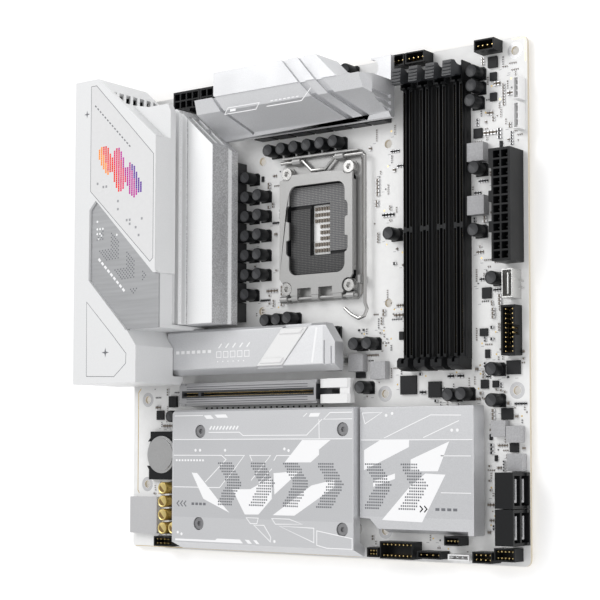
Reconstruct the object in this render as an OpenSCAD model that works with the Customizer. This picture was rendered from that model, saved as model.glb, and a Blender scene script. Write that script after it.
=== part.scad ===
// Desktop computer motherboard, micro-ATX outline, with heatsinks, shroud and connectors.
// The board lies flat: +Z leaves the component side, +X runs from the rear port edge
// towards the front edge, +Y runs from the expansion-slot edge towards the top edge.
// The origin is the rear mounting hole that the form factor is dimensioned from, on the
// underside of the board. Inside the modules, x and y are measured from the board's
// bottom rear corner, and z from the component side; on_board() moves them there.

/* [Board] */
// Side of the square board
board = 243.84; // [243.6:0.02:244]
// Thickness of the laminate
pcb_t = 1.6; // [1.4:0.1:1.8]
// Radius of the board's corners
corner_r = 3; // [1:0.5:4]
// Radius of each mounting hole
hole_r = 1.98; // [1.9:0.01:2.1]
// Distance from the board's rear edge to the first column of mounting holes
datum_x = 10.16; // [10:0.02:10.3]
// Distance from the board's bottom edge to the row of mounting holes by the slots
datum_y = 80.01; // [79.9:0.01:80.1]

/* [Processor socket] */
// Centre of the processor socket, from the rear edge
sock_x = 128.1; // [127:0.1:129]
// Centre of the processor socket, from the bottom edge
sock_y = 163.2; // [162:0.1:164]
// Spacing of the cooler's four holes, both ways
cooler_pitch = 78; // [77.5:0.1:78.5]
// Radius of the cooler's holes
cooler_r = 2.1; // [2:0.05:2.2]
// Radius of the lever's wire
lever_r = 0.9; // [0.8:0.05:1]
// Radial running clearance of hinge pins
run_gap = 0.05; // [0.03:0.01:0.1]

/* [Memory slots] */
// Width of one memory slot's housing
dimm_w = 6.5; // [6.2:0.1:6.8]
// Spacing of the memory slots
dimm_pitch = 9.3; // [9.1:0.1:9.6]
// Height of the housing above the board
dimm_h = 6.8; // [6:0.1:7.2]

/* [Expansion slot] */
// Length of the slot's housing
slot_len = 89; // [88.5:0.1:89.5]
// Height of the slot above the board
slot_h = 11; // [10.8:0.1:11.3]

/* [Heatsinks and shroud] */
// Height of the shroud's face above the board
shroud_h = 46; // [45:0.5:47]
// Wall of the shroud
shroud_t = 2; // [1.8:0.1:2.2]
// Height of the heatsink beside the shroud
left_h = 28; // [27.5:0.5:28.5]
// Height of the heatsink along the top edge
top_h = 35; // [34.5:0.5:35.5]
// Height of the drive heatsink between the socket and the slot
drive_top = 17; // [16.5:0.5:17.5]
// Height of the large drive heatsink below the slot
plate_top = 13; // [12.5:0.5:13.5]
// Height of the chipset heatsink
chipset_top = 9; // [8.5:0.5:9.5]

/* [Components] */
// Radius of the polymer capacitors
cap_r = 3.15; // [3:0.05:3.25]
// Height of the polymer capacitors
cap_h = 9; // [8.5:0.1:9.5]

/* [Hidden] */
$fn = 48;

screw_dx = 19.2;                    // socket screws, from the socket's centre
screw_dy = 29.4;
screw_head_r = 3.1;
screw_z = 3.0;                      // underside of the socket screws' heads
plate_z = 5.0;                      // underside of the load plate
plate_th = 1.2;
hinge_y = sock_y - 34.4;            // load plate's hinge
hinge_z = 4.0;
knuckle_r = 1.9;
lever_y = sock_y + 35.4;            // lever's pivot
lever_z = 4.2;
lever_arm_x = sock_x + 28.1;
lever_end_y = 121.6;
dimm_x0 = 179.5;
dimm_y0 = 90.3;
dimm_y1 = 235.2;
tower_y = 225.4;                    // start of the latch towers
latch_y = 231;                      // latch pivots
latch_z = 2.6;
trunnion_r = 0.95;
slot_x0 = 42.4;
slot_y = 81.7;                      // centre line of the expansion slot
slot_x1 = slot_x0 + slot_len;
pcie_pin_x = slot_x1 + 4.1;
pcie_pin_z = 3.5;
face_z = shroud_h;
recess_z = shroud_h - 1.5;
shield_x = -2.5;                    // outer face of the rear shield
shield_t = 1.0;
shield_y0 = 88;
shield_y1 = 246.6;
tail = 2.0;                         // length of the solder tails under the board
bezel = 0.6;

MOUNT_HOLES = [[datum_x, datum_y], [datum_x, 34.29], [33.02, 237.49], [165.1, 237.49],
    [165.1, datum_y], [165.1, 13.97], [237.49, 237.49], [237.49, datum_y]];

// moves board coordinates to the part's frame
module on_board() translate([-datum_x, -datum_y, pcb_t]) children();

// box between two corners
module box(a, b) translate(a) cube([b[0] - a[0], b[1] - a[1], b[2] - a[2]]);

// outline in Y and Z, drawn from x0 to x1
module prism_x(points, x0, x1)
    translate([x0, 0, 0]) rotate([90, 0, 90]) linear_extrude(x1 - x0) polygon(points);

// outline in X and Z, drawn from y0 to y1
module prism_y(points, y0, y1)
    translate([0, y1, 0]) rotate([90, 0, 0]) linear_extrude(y1 - y0) polygon(points);

// outline in X and Y, drawn from z0 to z1
module prism_z(points, z0, z1)
    translate([0, 0, z0]) linear_extrude(z1 - z0) polygon(points);

// bar from a to b, run on past its ends by the given amounts
module bar(a, b, r, before = 0, after = 0) {
    d = b - a;
    len = norm(d);
    translate(a) rotate([0, acos(d[2] / len), atan2(d[1], d[0])]) translate([0, 0, -before])
        cylinder(h = len + before + after, r = r);
}

// bent wire of ten-sided bars that cross a little at every bend
module wire(points, r) {
    last = len(points) - 2;
    for (i = [0 : last])
        bar(points[i], points[i + 1], r, r * 0.35, r * 0.35, $fn = 10);
}

// rectangle with round corners
module round_rect(w, h, r) {
    square([w - 2 * r, h], center = true);
    square([w, h - 2 * r], center = true);
    for (sx = [-1, 1], sy = [-1, 1])
        translate([sx * (w / 2 - r), sy * (h / 2 - r)]) circle(r = r);
}

module at_screws() for (sx = [-1, 1], sy = [-1, 1])
    translate([sock_x + sx * screw_dx, sock_y + sy * screw_dy, 0]) children();

// short solder tails on the board's underside
module tails(points, r = 0.7) for (p = points)
    translate([p[0], p[1], -pcb_t - tail]) cylinder(h = tail, r = r, $fn = 16);

// ---- board and processor socket ----

module pcb() on_board() color("whitesmoke") translate([0, 0, -pcb_t]) difference() {
    linear_extrude(pcb_t) translate([board / 2, board / 2]) round_rect(board, board, corner_r);
    for (p = MOUNT_HOLES) translate([p[0], p[1], -1]) cylinder(h = pcb_t + 2, r = hole_r);
    for (sx = [-1, 1], sy = [-1, 1])
        translate([sock_x + sx * cooler_pitch / 2, sock_y + sy * cooler_pitch / 2, -1])
            cylinder(h = pcb_t + 2, r = cooler_r);
    at_screws() translate([0, 0, -1]) cylinder(h = pcb_t + 2, r = 1.9);
}

module cpu_backplate() on_board() color("dimgray") difference() {
    translate([sock_x, sock_y, -pcb_t - tail]) linear_extrude(tail) difference() {
        round_rect(54, 72, 5);
        round_rect(30, 34, 4);
    }
    at_screws() translate([0, 0, -pcb_t - tail - 1]) cylinder(h = tail + 2, r = 1.7);
}

// the package sits on the floor of this housing's pocket
pocket_w = 37.8;
pocket_h = 45.3;
module cpu_socket() on_board() color("#26272a") translate([sock_x, sock_y, 0]) difference() {
    linear_extrude(4.3) round_rect(41.2, 51.6, 1.5);
    translate([0, 0, 2.2]) linear_extrude(3) round_rect(pocket_w, pocket_h, 0.8);
    translate([0, 0, -1]) linear_extrude(4) square([11.6, 25.2], center = true);
    // finger notches in the side walls
    for (sx = [-1, 1]) translate([sx * 20.6, 0, 3]) cylinder(h = 3, r = 2.6);
}

// the contact field is two L-shaped halves around the open middle
module contact_half() linear_extrude(0.7) polygon([
    [-pocket_w / 2 + 0.4, pocket_h / 2 - 0.4], [pocket_w / 2 - 0.4, pocket_h / 2 - 0.4],
    [pocket_w / 2 - 0.4, -11.3], [6.0, -11.3], [6.0, 12.8], [-pocket_w / 2 + 0.4, 12.8]]);
module socket_contacts() on_board() color("#55575a") translate([sock_x, sock_y, 2.2]) {
    contact_half();
    mirror([0, 1, 0]) mirror([1, 0, 0]) translate([0.2, 0.2, 0]) scale(0.985) contact_half();
}

module socket_decouplers() on_board() color("tan")
    for (i = [0 : 5], j = [0 : 7]) if (!(i < 2 && j > 1 && j < 5))
        box([sock_x - 4.7 + i * 1.65, sock_y - 11.2 + j * 3, 0],
            [sock_x - 3.7 + i * 1.65, sock_y - 9.4 + j * 3, 0.9]);

frame_top = 1.8;
module ilm_frame() on_board() color("lightgray") difference() {
    union() {
        // flat ring around the socket
        translate([sock_x, sock_y, 0.4]) linear_extrude(frame_top - 0.4) difference() {
            round_rect(48.6, 72, 4);
            round_rect(42, 52.4, 2);
        }
        at_screws() translate([0, 0, 0.4]) cylinder(h = screw_z - 0.4, r = 3.5);
        // rim behind the lever and the cuffs that hold it
        box([sock_x - 23, lever_y + 1.6, 0.4], [sock_x + 24.3, lever_y + 2.4, 5.0]);
        for (x = [sock_x - 15.6, sock_x + 11]) {
            box([x, lever_y - 1.9, 0.4], [x + 4.8, lever_y + 2.4, lever_z]);
            translate([x, lever_y, lever_z]) rotate([0, 90, 0]) cylinder(h = 4.8, r = 1.9);
        }
        // hinge cuffs with the fixed hinge rod
        for (x = [sock_x - 23.4, sock_x + 17.6]) {
            box([x, hinge_y - 1.8, 0.4], [x + 4.4, hinge_y + 1.6, hinge_z]);
            translate([x, hinge_y, hinge_z]) rotate([0, 90, 0]) cylinder(h = 4.4, r = 1.8);
        }
        bar([sock_x - 24.1, hinge_y, hinge_z], [sock_x + 23.2, hinge_y, hinge_z], lever_r);
        // keeper beside the lever's end
        prism_y([[sock_x + 23.6, 0.4], [sock_x + 26.6, 0.4], [sock_x + 26.6, 6.2],
                 [sock_x + 25.6, 6.8], [sock_x + 24.8, 6.0], [sock_x + 23.6, 1.8]],
            134.4, 138.2);
    }
    // running bores for the lever
    for (x = [sock_x - 16, sock_x + 10.6])
        translate([x, lever_y, lever_z]) rotate([0, 90, 0])
            cylinder(h = 5.6, r = lever_r + run_gap);
    at_screws() translate([0, 0, -1]) cylinder(h = 6, r = 1.9);
}

window_w = 34.4;
window_h = 45.3;
module plate_outline() difference() {
    polygon([[-23.2, -24], [-16, -33.0], [16, -33.0], [21.9, -24],
             [21.9, 27], [7, 28.4], [-7, 28.5], [-15, 28.5], [-23.2, 26]]);
    round_rect(window_w, window_h, 4.5);
    // wavy sides of the window, with a lip to lift the package by
    difference() {
        round_rect(38, 26, 2.5);
        for (sx = [-1, 1]) translate([sx * 19.6, 0]) circle(r = 5);
    }
    for (sx = [-1, 1], sy = [-1, 1])
        translate([sx * screw_dx, sy * screw_dy]) circle(r = screw_head_r + 0.6);
    // slots beside the hinge tongues
    for (x = [-11.9, 1.2]) translate([x, -33.6]) square([8.4, 4.2]);
}
knuckles = [[-15.8, 3.6], [-3.3, 4.2], [10, 5.2]];
module ilm_load_plate() on_board() color("gainsboro") difference() {
    union() {
        translate([sock_x, sock_y, plate_z]) linear_extrude(plate_th) plate_outline();
        // stiffening flange along the lever side
        box([sock_x + 20.9, sock_y - 22, 2.6], [sock_x + 21.9, sock_y + 23, plate_z + plate_th]);
        for (k = knuckles) {
            translate([sock_x + k[0], hinge_y, hinge_z]) rotate([0, 90, 0])
                cylinder(h = k[1], r = knuckle_r);
            box([sock_x + k[0], hinge_y, plate_z - 0.9],
                [sock_x + k[0] + k[1], hinge_y + 3, plate_z + 0.9]);
        }
    }
    translate([sock_x - 24, hinge_y, hinge_z]) rotate([0, 90, 0])
        cylinder(h = 48, r = lever_r + run_gap);
}

crank_y = lever_y - 5.5;
module ilm_lever() on_board() color("silver") {
    x = sock_x;
    // round where it turns in the cuffs
    bar([x - 23.5, lever_y, lever_z], [x - 9.6, lever_y, lever_z], lever_r);
    bar([x + 9.6, lever_y, lever_z], [lever_arm_x - 1, lever_y, lever_z], lever_r);
    // crank that presses on the load plate's tongue
    wire([[x - 9.9, lever_y, lever_z], [x - 4.2, crank_y, lever_z], [x + 4.2, crank_y, lever_z],
          [x + 9.9, lever_y, lever_z]], lever_r * 0.96);
    // arm with its finger loop
    wire([[lever_arm_x - 1.3, lever_y, lever_z], [lever_arm_x, lever_y - 1.3, lever_z],
          [lever_arm_x, lever_end_y + 3, lever_z], [lever_arm_x + 1.2, lever_end_y, lever_z],
          [lever_arm_x - 0.4, lever_end_y - 3.4, lever_z],
          [lever_arm_x - 3.8, lever_end_y - 4.5, lever_z],
          [lever_arm_x - 8, lever_end_y - 2.4, lever_z],
          [lever_arm_x - 12, lever_end_y + 0.8, lever_z]], lever_r * 0.96);
}

module ilm_screws() on_board() color("silver") at_screws() difference() {
    union() {
        translate([0, 0, screw_z]) cylinder(h = 2.6, r = screw_head_r);
        translate([0, 0, -pcb_t - tail]) cylinder(h = screw_z + pcb_t + tail, r = 1.6);
    }
    translate([0, 0, screw_z + 1.2]) cylinder(h = 3, r = 1.5, $fn = 6);
}

// ---- memory ----

function dimm_x(i) = dimm_x0 + i * dimm_pitch;

module dimm_slot(i) on_board() color("#1b1c1e") translate([dimm_x(i), 0, 0]) {
    w = dimm_w;
    difference() {
        union() {
            // ribbed body
            prism_y([[0, 0], [w, 0], [w, 4.2], [w - 0.7, 4.8], [w - 0.7, dimm_h], [0.7, dimm_h],
                     [0.7, 4.8], [0, 4.2]], dimm_y0 + 5, tower_y + 0.2);
            // fixed end
            prism_x([[dimm_y0, 0], [dimm_y0 + 6, 0], [dimm_y0 + 6, 10.5], [dimm_y0 + 4.6, 12],
                     [dimm_y0 + 1.6, 12], [dimm_y0, 8]], 0.2, w - 0.2);
            // latch tower
            box([0, tower_y, 0], [w, dimm_y1, 8.2]);
        }
        // card groove with its key left standing
        box([w / 2 - 0.75, dimm_y0 + 3.2, 1.4], [w / 2 + 0.75, 157, 13]);
        box([w / 2 - 0.75, 158.6, 1.4], [w / 2 + 0.75, tower_y + 1, 13]);
        // contact chambers
        for (s = [-1, 1])
            box([w / 2 + s * 1.75 - 0.5, dimm_y0 + 7.5, 3.6], [w / 2 + s * 1.75 + 0.5, 156.4, 8]);
        for (s = [-1, 1])
            box([w / 2 + s * 1.75 - 0.5, 159.2, 3.6], [w / 2 + s * 1.75 + 0.5, tower_y - 1, 8]);
        // latch pocket, open to the top and to the end
        box([0.6, tower_y + 1, 0.4], [w - 0.6, dimm_y1 + 1, 9]);
        translate([-1, latch_y, latch_z]) rotate([0, 90, 0])
            cylinder(h = w + 2, r = trunnion_r + run_gap);
    }
    tails([[w / 2, dimm_y0 + 4], [w / 2, 157.8], [w / 2, tower_y - 3]]);
}

module dimm_latch(i) on_board() color("#2a2b2e") translate([dimm_x(i), 0, 0]) {
    w = dimm_w;
    g = 0.85;
    prism_x([[latch_y - 1.9, 1.2], [latch_y + 1.2, 1.2], [latch_y + 1.9, 2.8],
             [latch_y + 1.5, 9.0], [latch_y + 2.0, 11.6], [latch_y + 3.3, 13.6],
             [latch_y + 2.9, 16.4], [latch_y - 4.6, 17.2], [latch_y - 4.8, 14.4],
             [latch_y - 3.0, 12.6], [latch_y - 2.9, 8.8], [latch_y - 1.9, 7.4]], g, w - g);
    translate([0.1, latch_y, latch_z]) rotate([0, 90, 0]) cylinder(h = w - 0.2, r = trunnion_r);
    // grip ribs
    for (k = [0 : 3]) prism_x([[latch_y - 3.9 + k * 1.6, 16.8], [latch_y - 3.1 + k * 1.6, 16.8],
            [latch_y - 3.3 + k * 1.6, 17.6 - k * 0.16], [latch_y - 3.7 + k * 1.6, 17.6 - k * 0.16]],
        g + 0.3, w - g - 0.3);
}

module dimm_slot_1() dimm_slot(0);
module dimm_slot_2() dimm_slot(1);
module dimm_slot_3() dimm_slot(2);
module dimm_slot_4() dimm_slot(3);
module dimm_latch_1() dimm_latch(0);
module dimm_latch_2() dimm_latch(1);
module dimm_latch_3() dimm_latch(2);
module dimm_latch_4() dimm_latch(3);

// ---- expansion slot ----

key_x = slot_x0 + 13.6;
module pcie_slot() on_board() color("#2b2c2f") {
    difference() {
        union() {
            box([slot_x0 + 0.8, slot_y - 3.8, 0], [slot_x1 - 0.8, slot_y + 3.8, slot_h - 0.4]);
            // ear that carries the latch's pin
            box([slot_x1 - 0.9, slot_y - 1.25, 0], [pcie_pin_x + 2.4, slot_y + 1.25, 6.4]);
        }
        box([slot_x0 + 2.2, slot_y - 0.9, 2.6], [key_x - 0.9, slot_y + 0.9, slot_h + 1]);
        box([key_x + 0.9, slot_y - 0.9, 2.6], [slot_x1 - 1.9, slot_y + 0.9, slot_h + 1]);
        translate([pcie_pin_x, slot_y + 2, pcie_pin_z]) rotate([90, 0, 0])
            cylinder(h = 4, r = 1.0 + run_gap);
    }
    tails([[slot_x0 + 3, slot_y], [key_x, slot_y], [slot_x1 - 4, slot_y]]);
}

// contact strips in the grooves of the card slot and the memory slots
module slot_contacts() on_board() color("goldenrod") {
    for (s = [-1, 1], x = [[slot_x0 + 3, key_x - 1.2], [key_x + 1.2, slot_x1 - 2.6]])
        box([x[0], slot_y + s * 0.75 - 0.15, 2.6], [x[1], slot_y + s * 0.75 + 0.15, 8.6]);
    for (i = [0 : 3], s = [-1, 1])
        box([dimm_x(i) + dimm_w / 2 + s * 1.75 - 0.35, dimm_y0 + 8, 3.6],
            [dimm_x(i) + dimm_w / 2 + s * 1.75 + 0.35, 156, 5.6]);
    for (i = [0 : 3], s = [-1, 1])
        box([dimm_x(i) + dimm_w / 2 + s * 1.75 - 0.35, 159.6, 3.6],
            [dimm_x(i) + dimm_w / 2 + s * 1.75 + 0.35, tower_y - 1.4, 5.6]);
}

// sheet-metal sleeve around the card slot, with a flange along each side
module pcie_armor() on_board() color("silver") difference() {
    union() {
        box([slot_x0, slot_y - 4.8, 0], [slot_x1, slot_y + 4.8, slot_h]);
        for (s = [-1, 1])
            box([slot_x0, slot_y + s * 5.2 - 0.7, 0], [slot_x1, slot_y + s * 5.2 + 0.7, slot_h - 1.6]);
        for (x = [slot_x0, slot_x1 - 3.2])
            box([x, slot_y - 5.9, 0], [x + 3.2, slot_y + 5.9, slot_h - 0.8]);
    }
    box([slot_x0 + 0.8, slot_y - 3.8, -1], [slot_x1 + 1, slot_y + 3.8, slot_h - 0.4]);
    box([slot_x0 + 1.6, slot_y - 1.9, 2], [slot_x1 - 1.2, slot_y + 1.9, slot_h + 1]);
    box([slot_x1 - 1, slot_y - 1.5, -1], [slot_x1 + 1, slot_y + 1.5, 7]);
}

module pcie_latch() on_board() color("white") {
    x1 = 151.4;
    cheek = [[slot_x1 + 1.2, 1.6], [slot_x1 + 6.4, 1.6], [slot_x1 + 9, 5.2], [x1, 6.2],
             [x1, 9.8], [x1 - 1.2, slot_h], [slot_x1 + 5.2, slot_h], [slot_x1 + 1.2, 8.8]];
    for (s = [-1, 1]) {
        y0 = slot_y + s * 3.8;
        prism_y(cheek, y0 - 2.2, y0 + 2.2);
    }
    for (s = [-1, 1]) {
        y0 = slot_y + s * 6.1;
        prism_y([[slot_x1 + 4.6, 5.0], [x1, 6.2], [x1, 9.8], [x1 - 1.2, slot_h],
                 [slot_x1 + 6.6, slot_h]], y0 - 0.1 - 0.1 * s, y0 + 0.1 - 0.1 * s);
    }
    box([slot_x1 + 14.2, slot_y - 1.6, 6.4], [x1, slot_y + 1.6, slot_h - 0.6]);
    translate([pcie_pin_x, slot_y + 2, pcie_pin_z]) rotate([90, 0, 0]) cylinder(h = 4, r = 1.0);
}

// ---- rear panel ----

shroud_outline = [[-1.3, 87], [43.2, 87], [43.2, 106], [36.6, 114.6], [57.4, 114.6],
    [57.4, 142], [56, 144], [56, 212.6], [15.2, 247.4], [-1.3, 247.4]];
shroud_cavity = [[0.5, 89], [41.2, 89], [41.2, 105.4], [33, 116.6], [55.4, 116.6],
    [55.4, 141.4], [54, 143.4], [54, 211.7], [14.5, 245.4], [0.5, 245.4]];
recess_outline = [[9.4, 141.2], [34.9, 115.4], [36.0, 114], [58, 114], [58, 142.2],
    [54.6, 142.6], [14.0, 183], [9.6, 178.4]];
panel_outline = [[10.2, 188.2], [52.6, 148.2], [54.6, 150], [54.6, 203.3], [14, 243.9],
    [10.2, 243.9]];
shroud_z0 = 9;
vent_z = 41.1;
vent_pitch = 5.24;
module io_shroud() on_board() color("white") difference() {
    union() {
        prism_z(shroud_outline, shroud_z0, face_z);
        // lower tier along the heatsink, and the flared side of the upper tier
        prism_z([[30, 232.9], [44, 230], [57.4, 230], [59.4, 226], [59.4, 142.4], [50, 142.4]],
            34.5, 38.5);
        prism_y([[50, 34.5], [59.4, 34.5], [59.4, 38.5], [56, face_z - 0.6], [50, face_z - 0.6]],
            142.4, 212);
    }
    prism_z(shroud_cavity, shroud_z0 - 1, recess_z - shroud_t);
    // seat of the brushed nameplate and of the light panel
    prism_z(recess_outline, recess_z - 1.0, face_z + 1);
    prism_z(panel_outline, face_z - 1.2, face_z + 1);
    // leaning vent slots, one above the other, in the slanted wall
    translate([15.2, 247.4, 0]) rotate([0, 0, -40.3]) intersection() {
        box([11.6, -3, 12], [22.8, 3, 43.4]);
        for (k = [0 : 6]) prism_y([[11, vent_z - 0.5 - k * vent_pitch],
            [23, vent_z + 9.5 - k * vent_pitch], [23, vent_z + 12.7 - k * vent_pitch],
            [11, vent_z + 2.7 - k * vent_pitch]], -3, 3);
    }
    // room for the heatsink and the power connector beside the ports
    box([36.5, 116.6, 0], [70, 231.5, 34.3]);
    // open to the rear shield, and round the ends of the drive heatsink and the card slot
    box([-3, 89, 8], [2, 245.4, 36]);
    box([38.9, 91.3, 8], [60, 115.3, 17.3]);
    box([42.1, 86, 8], [44, 88, 10.6]);
}

module io_light_panel() on_board() color("white")
    prism_z(panel_outline, face_z - 1.2, face_z);

module io_light_board() on_board() color("darkgreen")
    prism_z([[16, 190], [50, 158], [50, 201], [16, 234]], recess_z - shroud_t - 3,
        recess_z - shroud_t - 1.6);

module io_brushed_panel() on_board() color("darkgray") intersection() {
    prism_z(recess_outline, recess_z - 1.0, recess_z);
    prism_z(shroud_outline, 0, face_z);
}

// openings of the rear shield: y0, y1, z0, z1
PORTS = [[226.2, 243.2, 2.2, 17.6], [207, 220.5, 1.8, 17], [207, 220.5, 18.4, 34],
    [189.5, 203, 1.8, 17], [189.5, 203, 18.4, 34], [169.5, 185.5, 14.8, 27.6],
    [169.5, 185.5, 1.8, 13.4], [149.5, 163.5, 1.8, 17], [149.5, 163.5, 18.4, 34]];
module io_shield() on_board() color("#3a3b3e") difference() {
    box([shield_x, shield_y0, -pcb_t], [shield_x + shield_t, shield_y1, 43]);
    for (p = PORTS) box([-5, p[0], p[2]], [0, p[1], p[3]]);
    for (y = [97, 111, 125]) for (z = [7, 22])
        translate([-5, y, z]) rotate([0, 90, 0]) cylinder(h = 6, r = 4.6);
    for (z = [8, 24]) translate([-5, 141, z]) rotate([0, 90, 0]) cylinder(h = 6, r = 3.6);
    for (z = [8, 18]) translate([-5, 222.9 + 0.5, z]) rotate([0, 90, 0]) cylinder(h = 6, r = 1.9);
}

// metal shell open to the rear, with a plastic tongue inside
module port_shell(y0, y1, z0, z1, depth) difference() {
    box([shield_x + 0.2, y0, z0], [depth, y1, z1]);
    box([shield_x - 1, y0 + bezel, z0 + bezel], [depth - 6, y1 - bezel, z1 - bezel]);
}

module usb_a_port(y, z) {
    port_shell(y, y + 13.1, z, z + 6.9, 15.5);
    box([shield_x + 1.4, y + 1.3, z + 3.4], [9.6, y + 11.8, z + 5.2]);
}

module rear_usb_ports() on_board() color("silver") {
    for (y = [207.2, 189.7, 149.8]) for (z = [2, 9.4, 18.6, 26]) usb_a_port(y, z);
    for (y = [207.2, 189.7, 149.8]) {
        box([1, y + 0.4, 0], [15, y + 12.7, 2]);
        box([1, y + 0.4, 8.9], [15, y + 12.7, 9.4]);
        box([1, y + 0.4, 16.3], [15, y + 12.7, 18.6]);
        box([1, y + 0.4, 25.5], [15, y + 12.7, 26]);
        tails([[4, y + 3], [4, y + 10], [12, y + 3], [12, y + 10]]);
    }
}

module rear_video_ports() on_board() color("silver") {
    port_shell(226.4, 243.0, 2.4, 9.2, 17);
    port_shell(226.4, 243.0, 10.6, 17.4, 17);
    for (z = [5, 13.4]) box([shield_x + 2, 229, z], [11.2, 240.4, z + 1.4]);
    box([1, 227, 0], [16, 242.4, 2.4]);
    box([1, 227, 9.2], [16, 242.4, 10.6]);
    tails([[4, 229], [4, 240], [13, 229], [13, 240]]);
}

module rear_lan_port() on_board() color("silver") {
    difference() {
        box([shield_x + shield_t + 0.1, 169.7, 0], [21, 185.3, 27.4]);
        // jack and the port beneath it
        box([shield_x - 1, 171.2, 15.6], [13, 183.8, 26.2]);
        box([shield_x - 1, 170.9, 2.6], [10, 184.1, 12.6]);
    }
    for (k = [0 : 7]) box([2, 173.2 + k * 1.2, 15.6], [12.9, 173.6 + k * 1.2, 16.2]);
    tails([[4, 172], [4, 183], [16, 172], [16, 183]]);
}

module rear_audio_jacks() on_board() color("#222326") {
    difference() {
        box([0.3, 90.2, 0], [18, 131.8, 29.6]);
        for (y = [97, 111, 125], z = [7, 22]) translate([-1, y, z]) rotate([0, 90, 0])
            cylinder(h = 13, r = 1.8);
    }
    for (y = [97, 111, 125], z = [7, 22]) translate([shield_x - 0.4, y, z]) rotate([0, 90, 0])
        difference() {
            cylinder(h = 0.3 - shield_x + 0.4, r = 4.3);
            translate([0, 0, -1]) cylinder(h = 5, r = 1.8);
        }
    tails([[5, 94], [5, 128], [14, 94], [14, 128]]);
}

module antenna_connectors() on_board() color("gold") {
    for (z = [8, 24]) translate([shield_x - 3.4, 141, z]) rotate([0, 90, 0]) difference() {
        cylinder(h = 9.4, r = 3.1);
        translate([0, 0, -1]) cylinder(h = 6, r = 2.3);
    }
    for (z = [8, 24]) translate([shield_x - 2.6, 141, z]) rotate([0, 90, 0])
        cylinder(h = 4, r = 0.6);
    // radio module that the two aerial sockets belong to
    box([3.5, 135.6, 0], [20, 146.8, 28]);
}

// push buttons guided by the shield
module rear_button(z) {
    translate([shield_x - 1.2, 223.4, z]) rotate([0, 90, 0]) {
        cylinder(h = 3.6, r = 1.8);
        translate([0, 0, 3.5]) cylinder(h = 1.1, r = 2.4);
    }
}
module flashback_button() on_board() color("black") rear_button(8);
module clear_cmos_button() on_board() color("black") rear_button(18);

// ---- power stage cooling ----

left_profile = [[46, 9], [46, 32.6], [51, 32.6], [54.8, 29.4], [57.2, 29.4], [58.2, left_h],
    [61.2, left_h], [61.2, left_h - 1], [62.2, left_h - 1], [62.2, left_h], [78.6, left_h],
    [78.6, 15.6], [80, 14], [80, 9]];
left_y0 = 116.9;
module vrm_heatsink_left() on_board() color("#d4d5d7") difference() {
    union() {
        prism_y(left_profile, left_y0, 230);
        // foot on the power stages
        box([55, left_y0 + 10, 2.0], [66, 205, 9.2]);
    }
    // slanted end that faces the other heatsink
    prism_z([[55.4, 229], [80.4, 206.4], [90, 206.4], [90, 240], [40, 240], [40, 229]], 0, 50);
    // cooling windows in the slanted end
    translate([55.4, 229, 0]) rotate([0, 0, -42.1]) {
        box([5.5, -6, 16], [14.5, 1, 20.5]);
        box([16.5, -6, 16], [28.5, 1, 20.5]);
        box([5.5, -6, 22], [28.5, 1, 24.5]);
    }
}

top_profile = [[212.4, 9], [212.4, 12], [214.9, 14], [223.2, 32], [230.4, 34],
    [230.4, top_h - 0.4], [242.6, top_h - 0.4], [242.6, 9]];
top_x1 = 176.6;
groove_d = 1.6;
top_core = [for (p = top_profile) [p[0] < 225 ? p[0] + groove_d : p[0], p[1] - groove_d]];
module groove(x0, y0, x1, y1, w) {
    a = atan2(y1 - y0, x1 - x0);
    translate([x0, y0, 0]) rotate([0, 0, a])
        box([-2, -w / 2, 9], [norm([x1 - x0, y1 - y0]), w / 2, 60]);
}
module vrm_heatsink_top() on_board() color("#d4d5d7") {
    difference() {
        union() {
            difference() {
                prism_x(top_profile, 71.4, top_x1);
                // only the rear block stands behind the sloping front
                prism_z([[60, 230.4], [84.4, 230.4], [84.4, 250], [60, 250]], 8, 60);
                prism_z([[160.2, 230.4], [148, 242.6], [148, 250], [190, 250], [190, 230.4]],
                    12, 60);
                // clear of the other heatsink's slanted end
                prism_z([[71, 215.2], [74.3, 212.2], [74.3, 211], [71, 211]], 8, 60);
                // bevelled front end
                prism_z([[top_x1 - 4, 250], [top_x1 + 1, 250], [top_x1 + 1, 226.4]], 14, 60);
                prism_y([[top_x1 - 5, 36], [top_x1 + 1, 36], [top_x1 + 1, 26]], 200, 250);
            }
            // foot on the power stages
            box([92, 226, 2.0], [168, 237, 9.2]);
        }
        // slanted grooves that follow the facets
        difference() {
            union() {
                groove(82.6, 232.4, 93.6, 214.0, 1.8);
                groove(128.6, 243.6, 154.2, 213.4, 3.0);
                groove(138.2, 243.6, 164, 213.4, 3.0);
            }
            prism_x(top_core, 60, 190);
        }
        for (k = [0 : 2])
            box([top_x1 - 1, 214.8 + k * 3.2, 12], [top_x1 + 1, 216.6 + k * 3.2, 22 + k * 3]);
        // room over the capacitor behind
        box([141, 236.5, 8], [165, 250, 16]);
        // clear of the mounting hole and its screw
        translate([165.1, 237.49, 0]) cylinder(h = 60, r = 4.2);
    }
}

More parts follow.
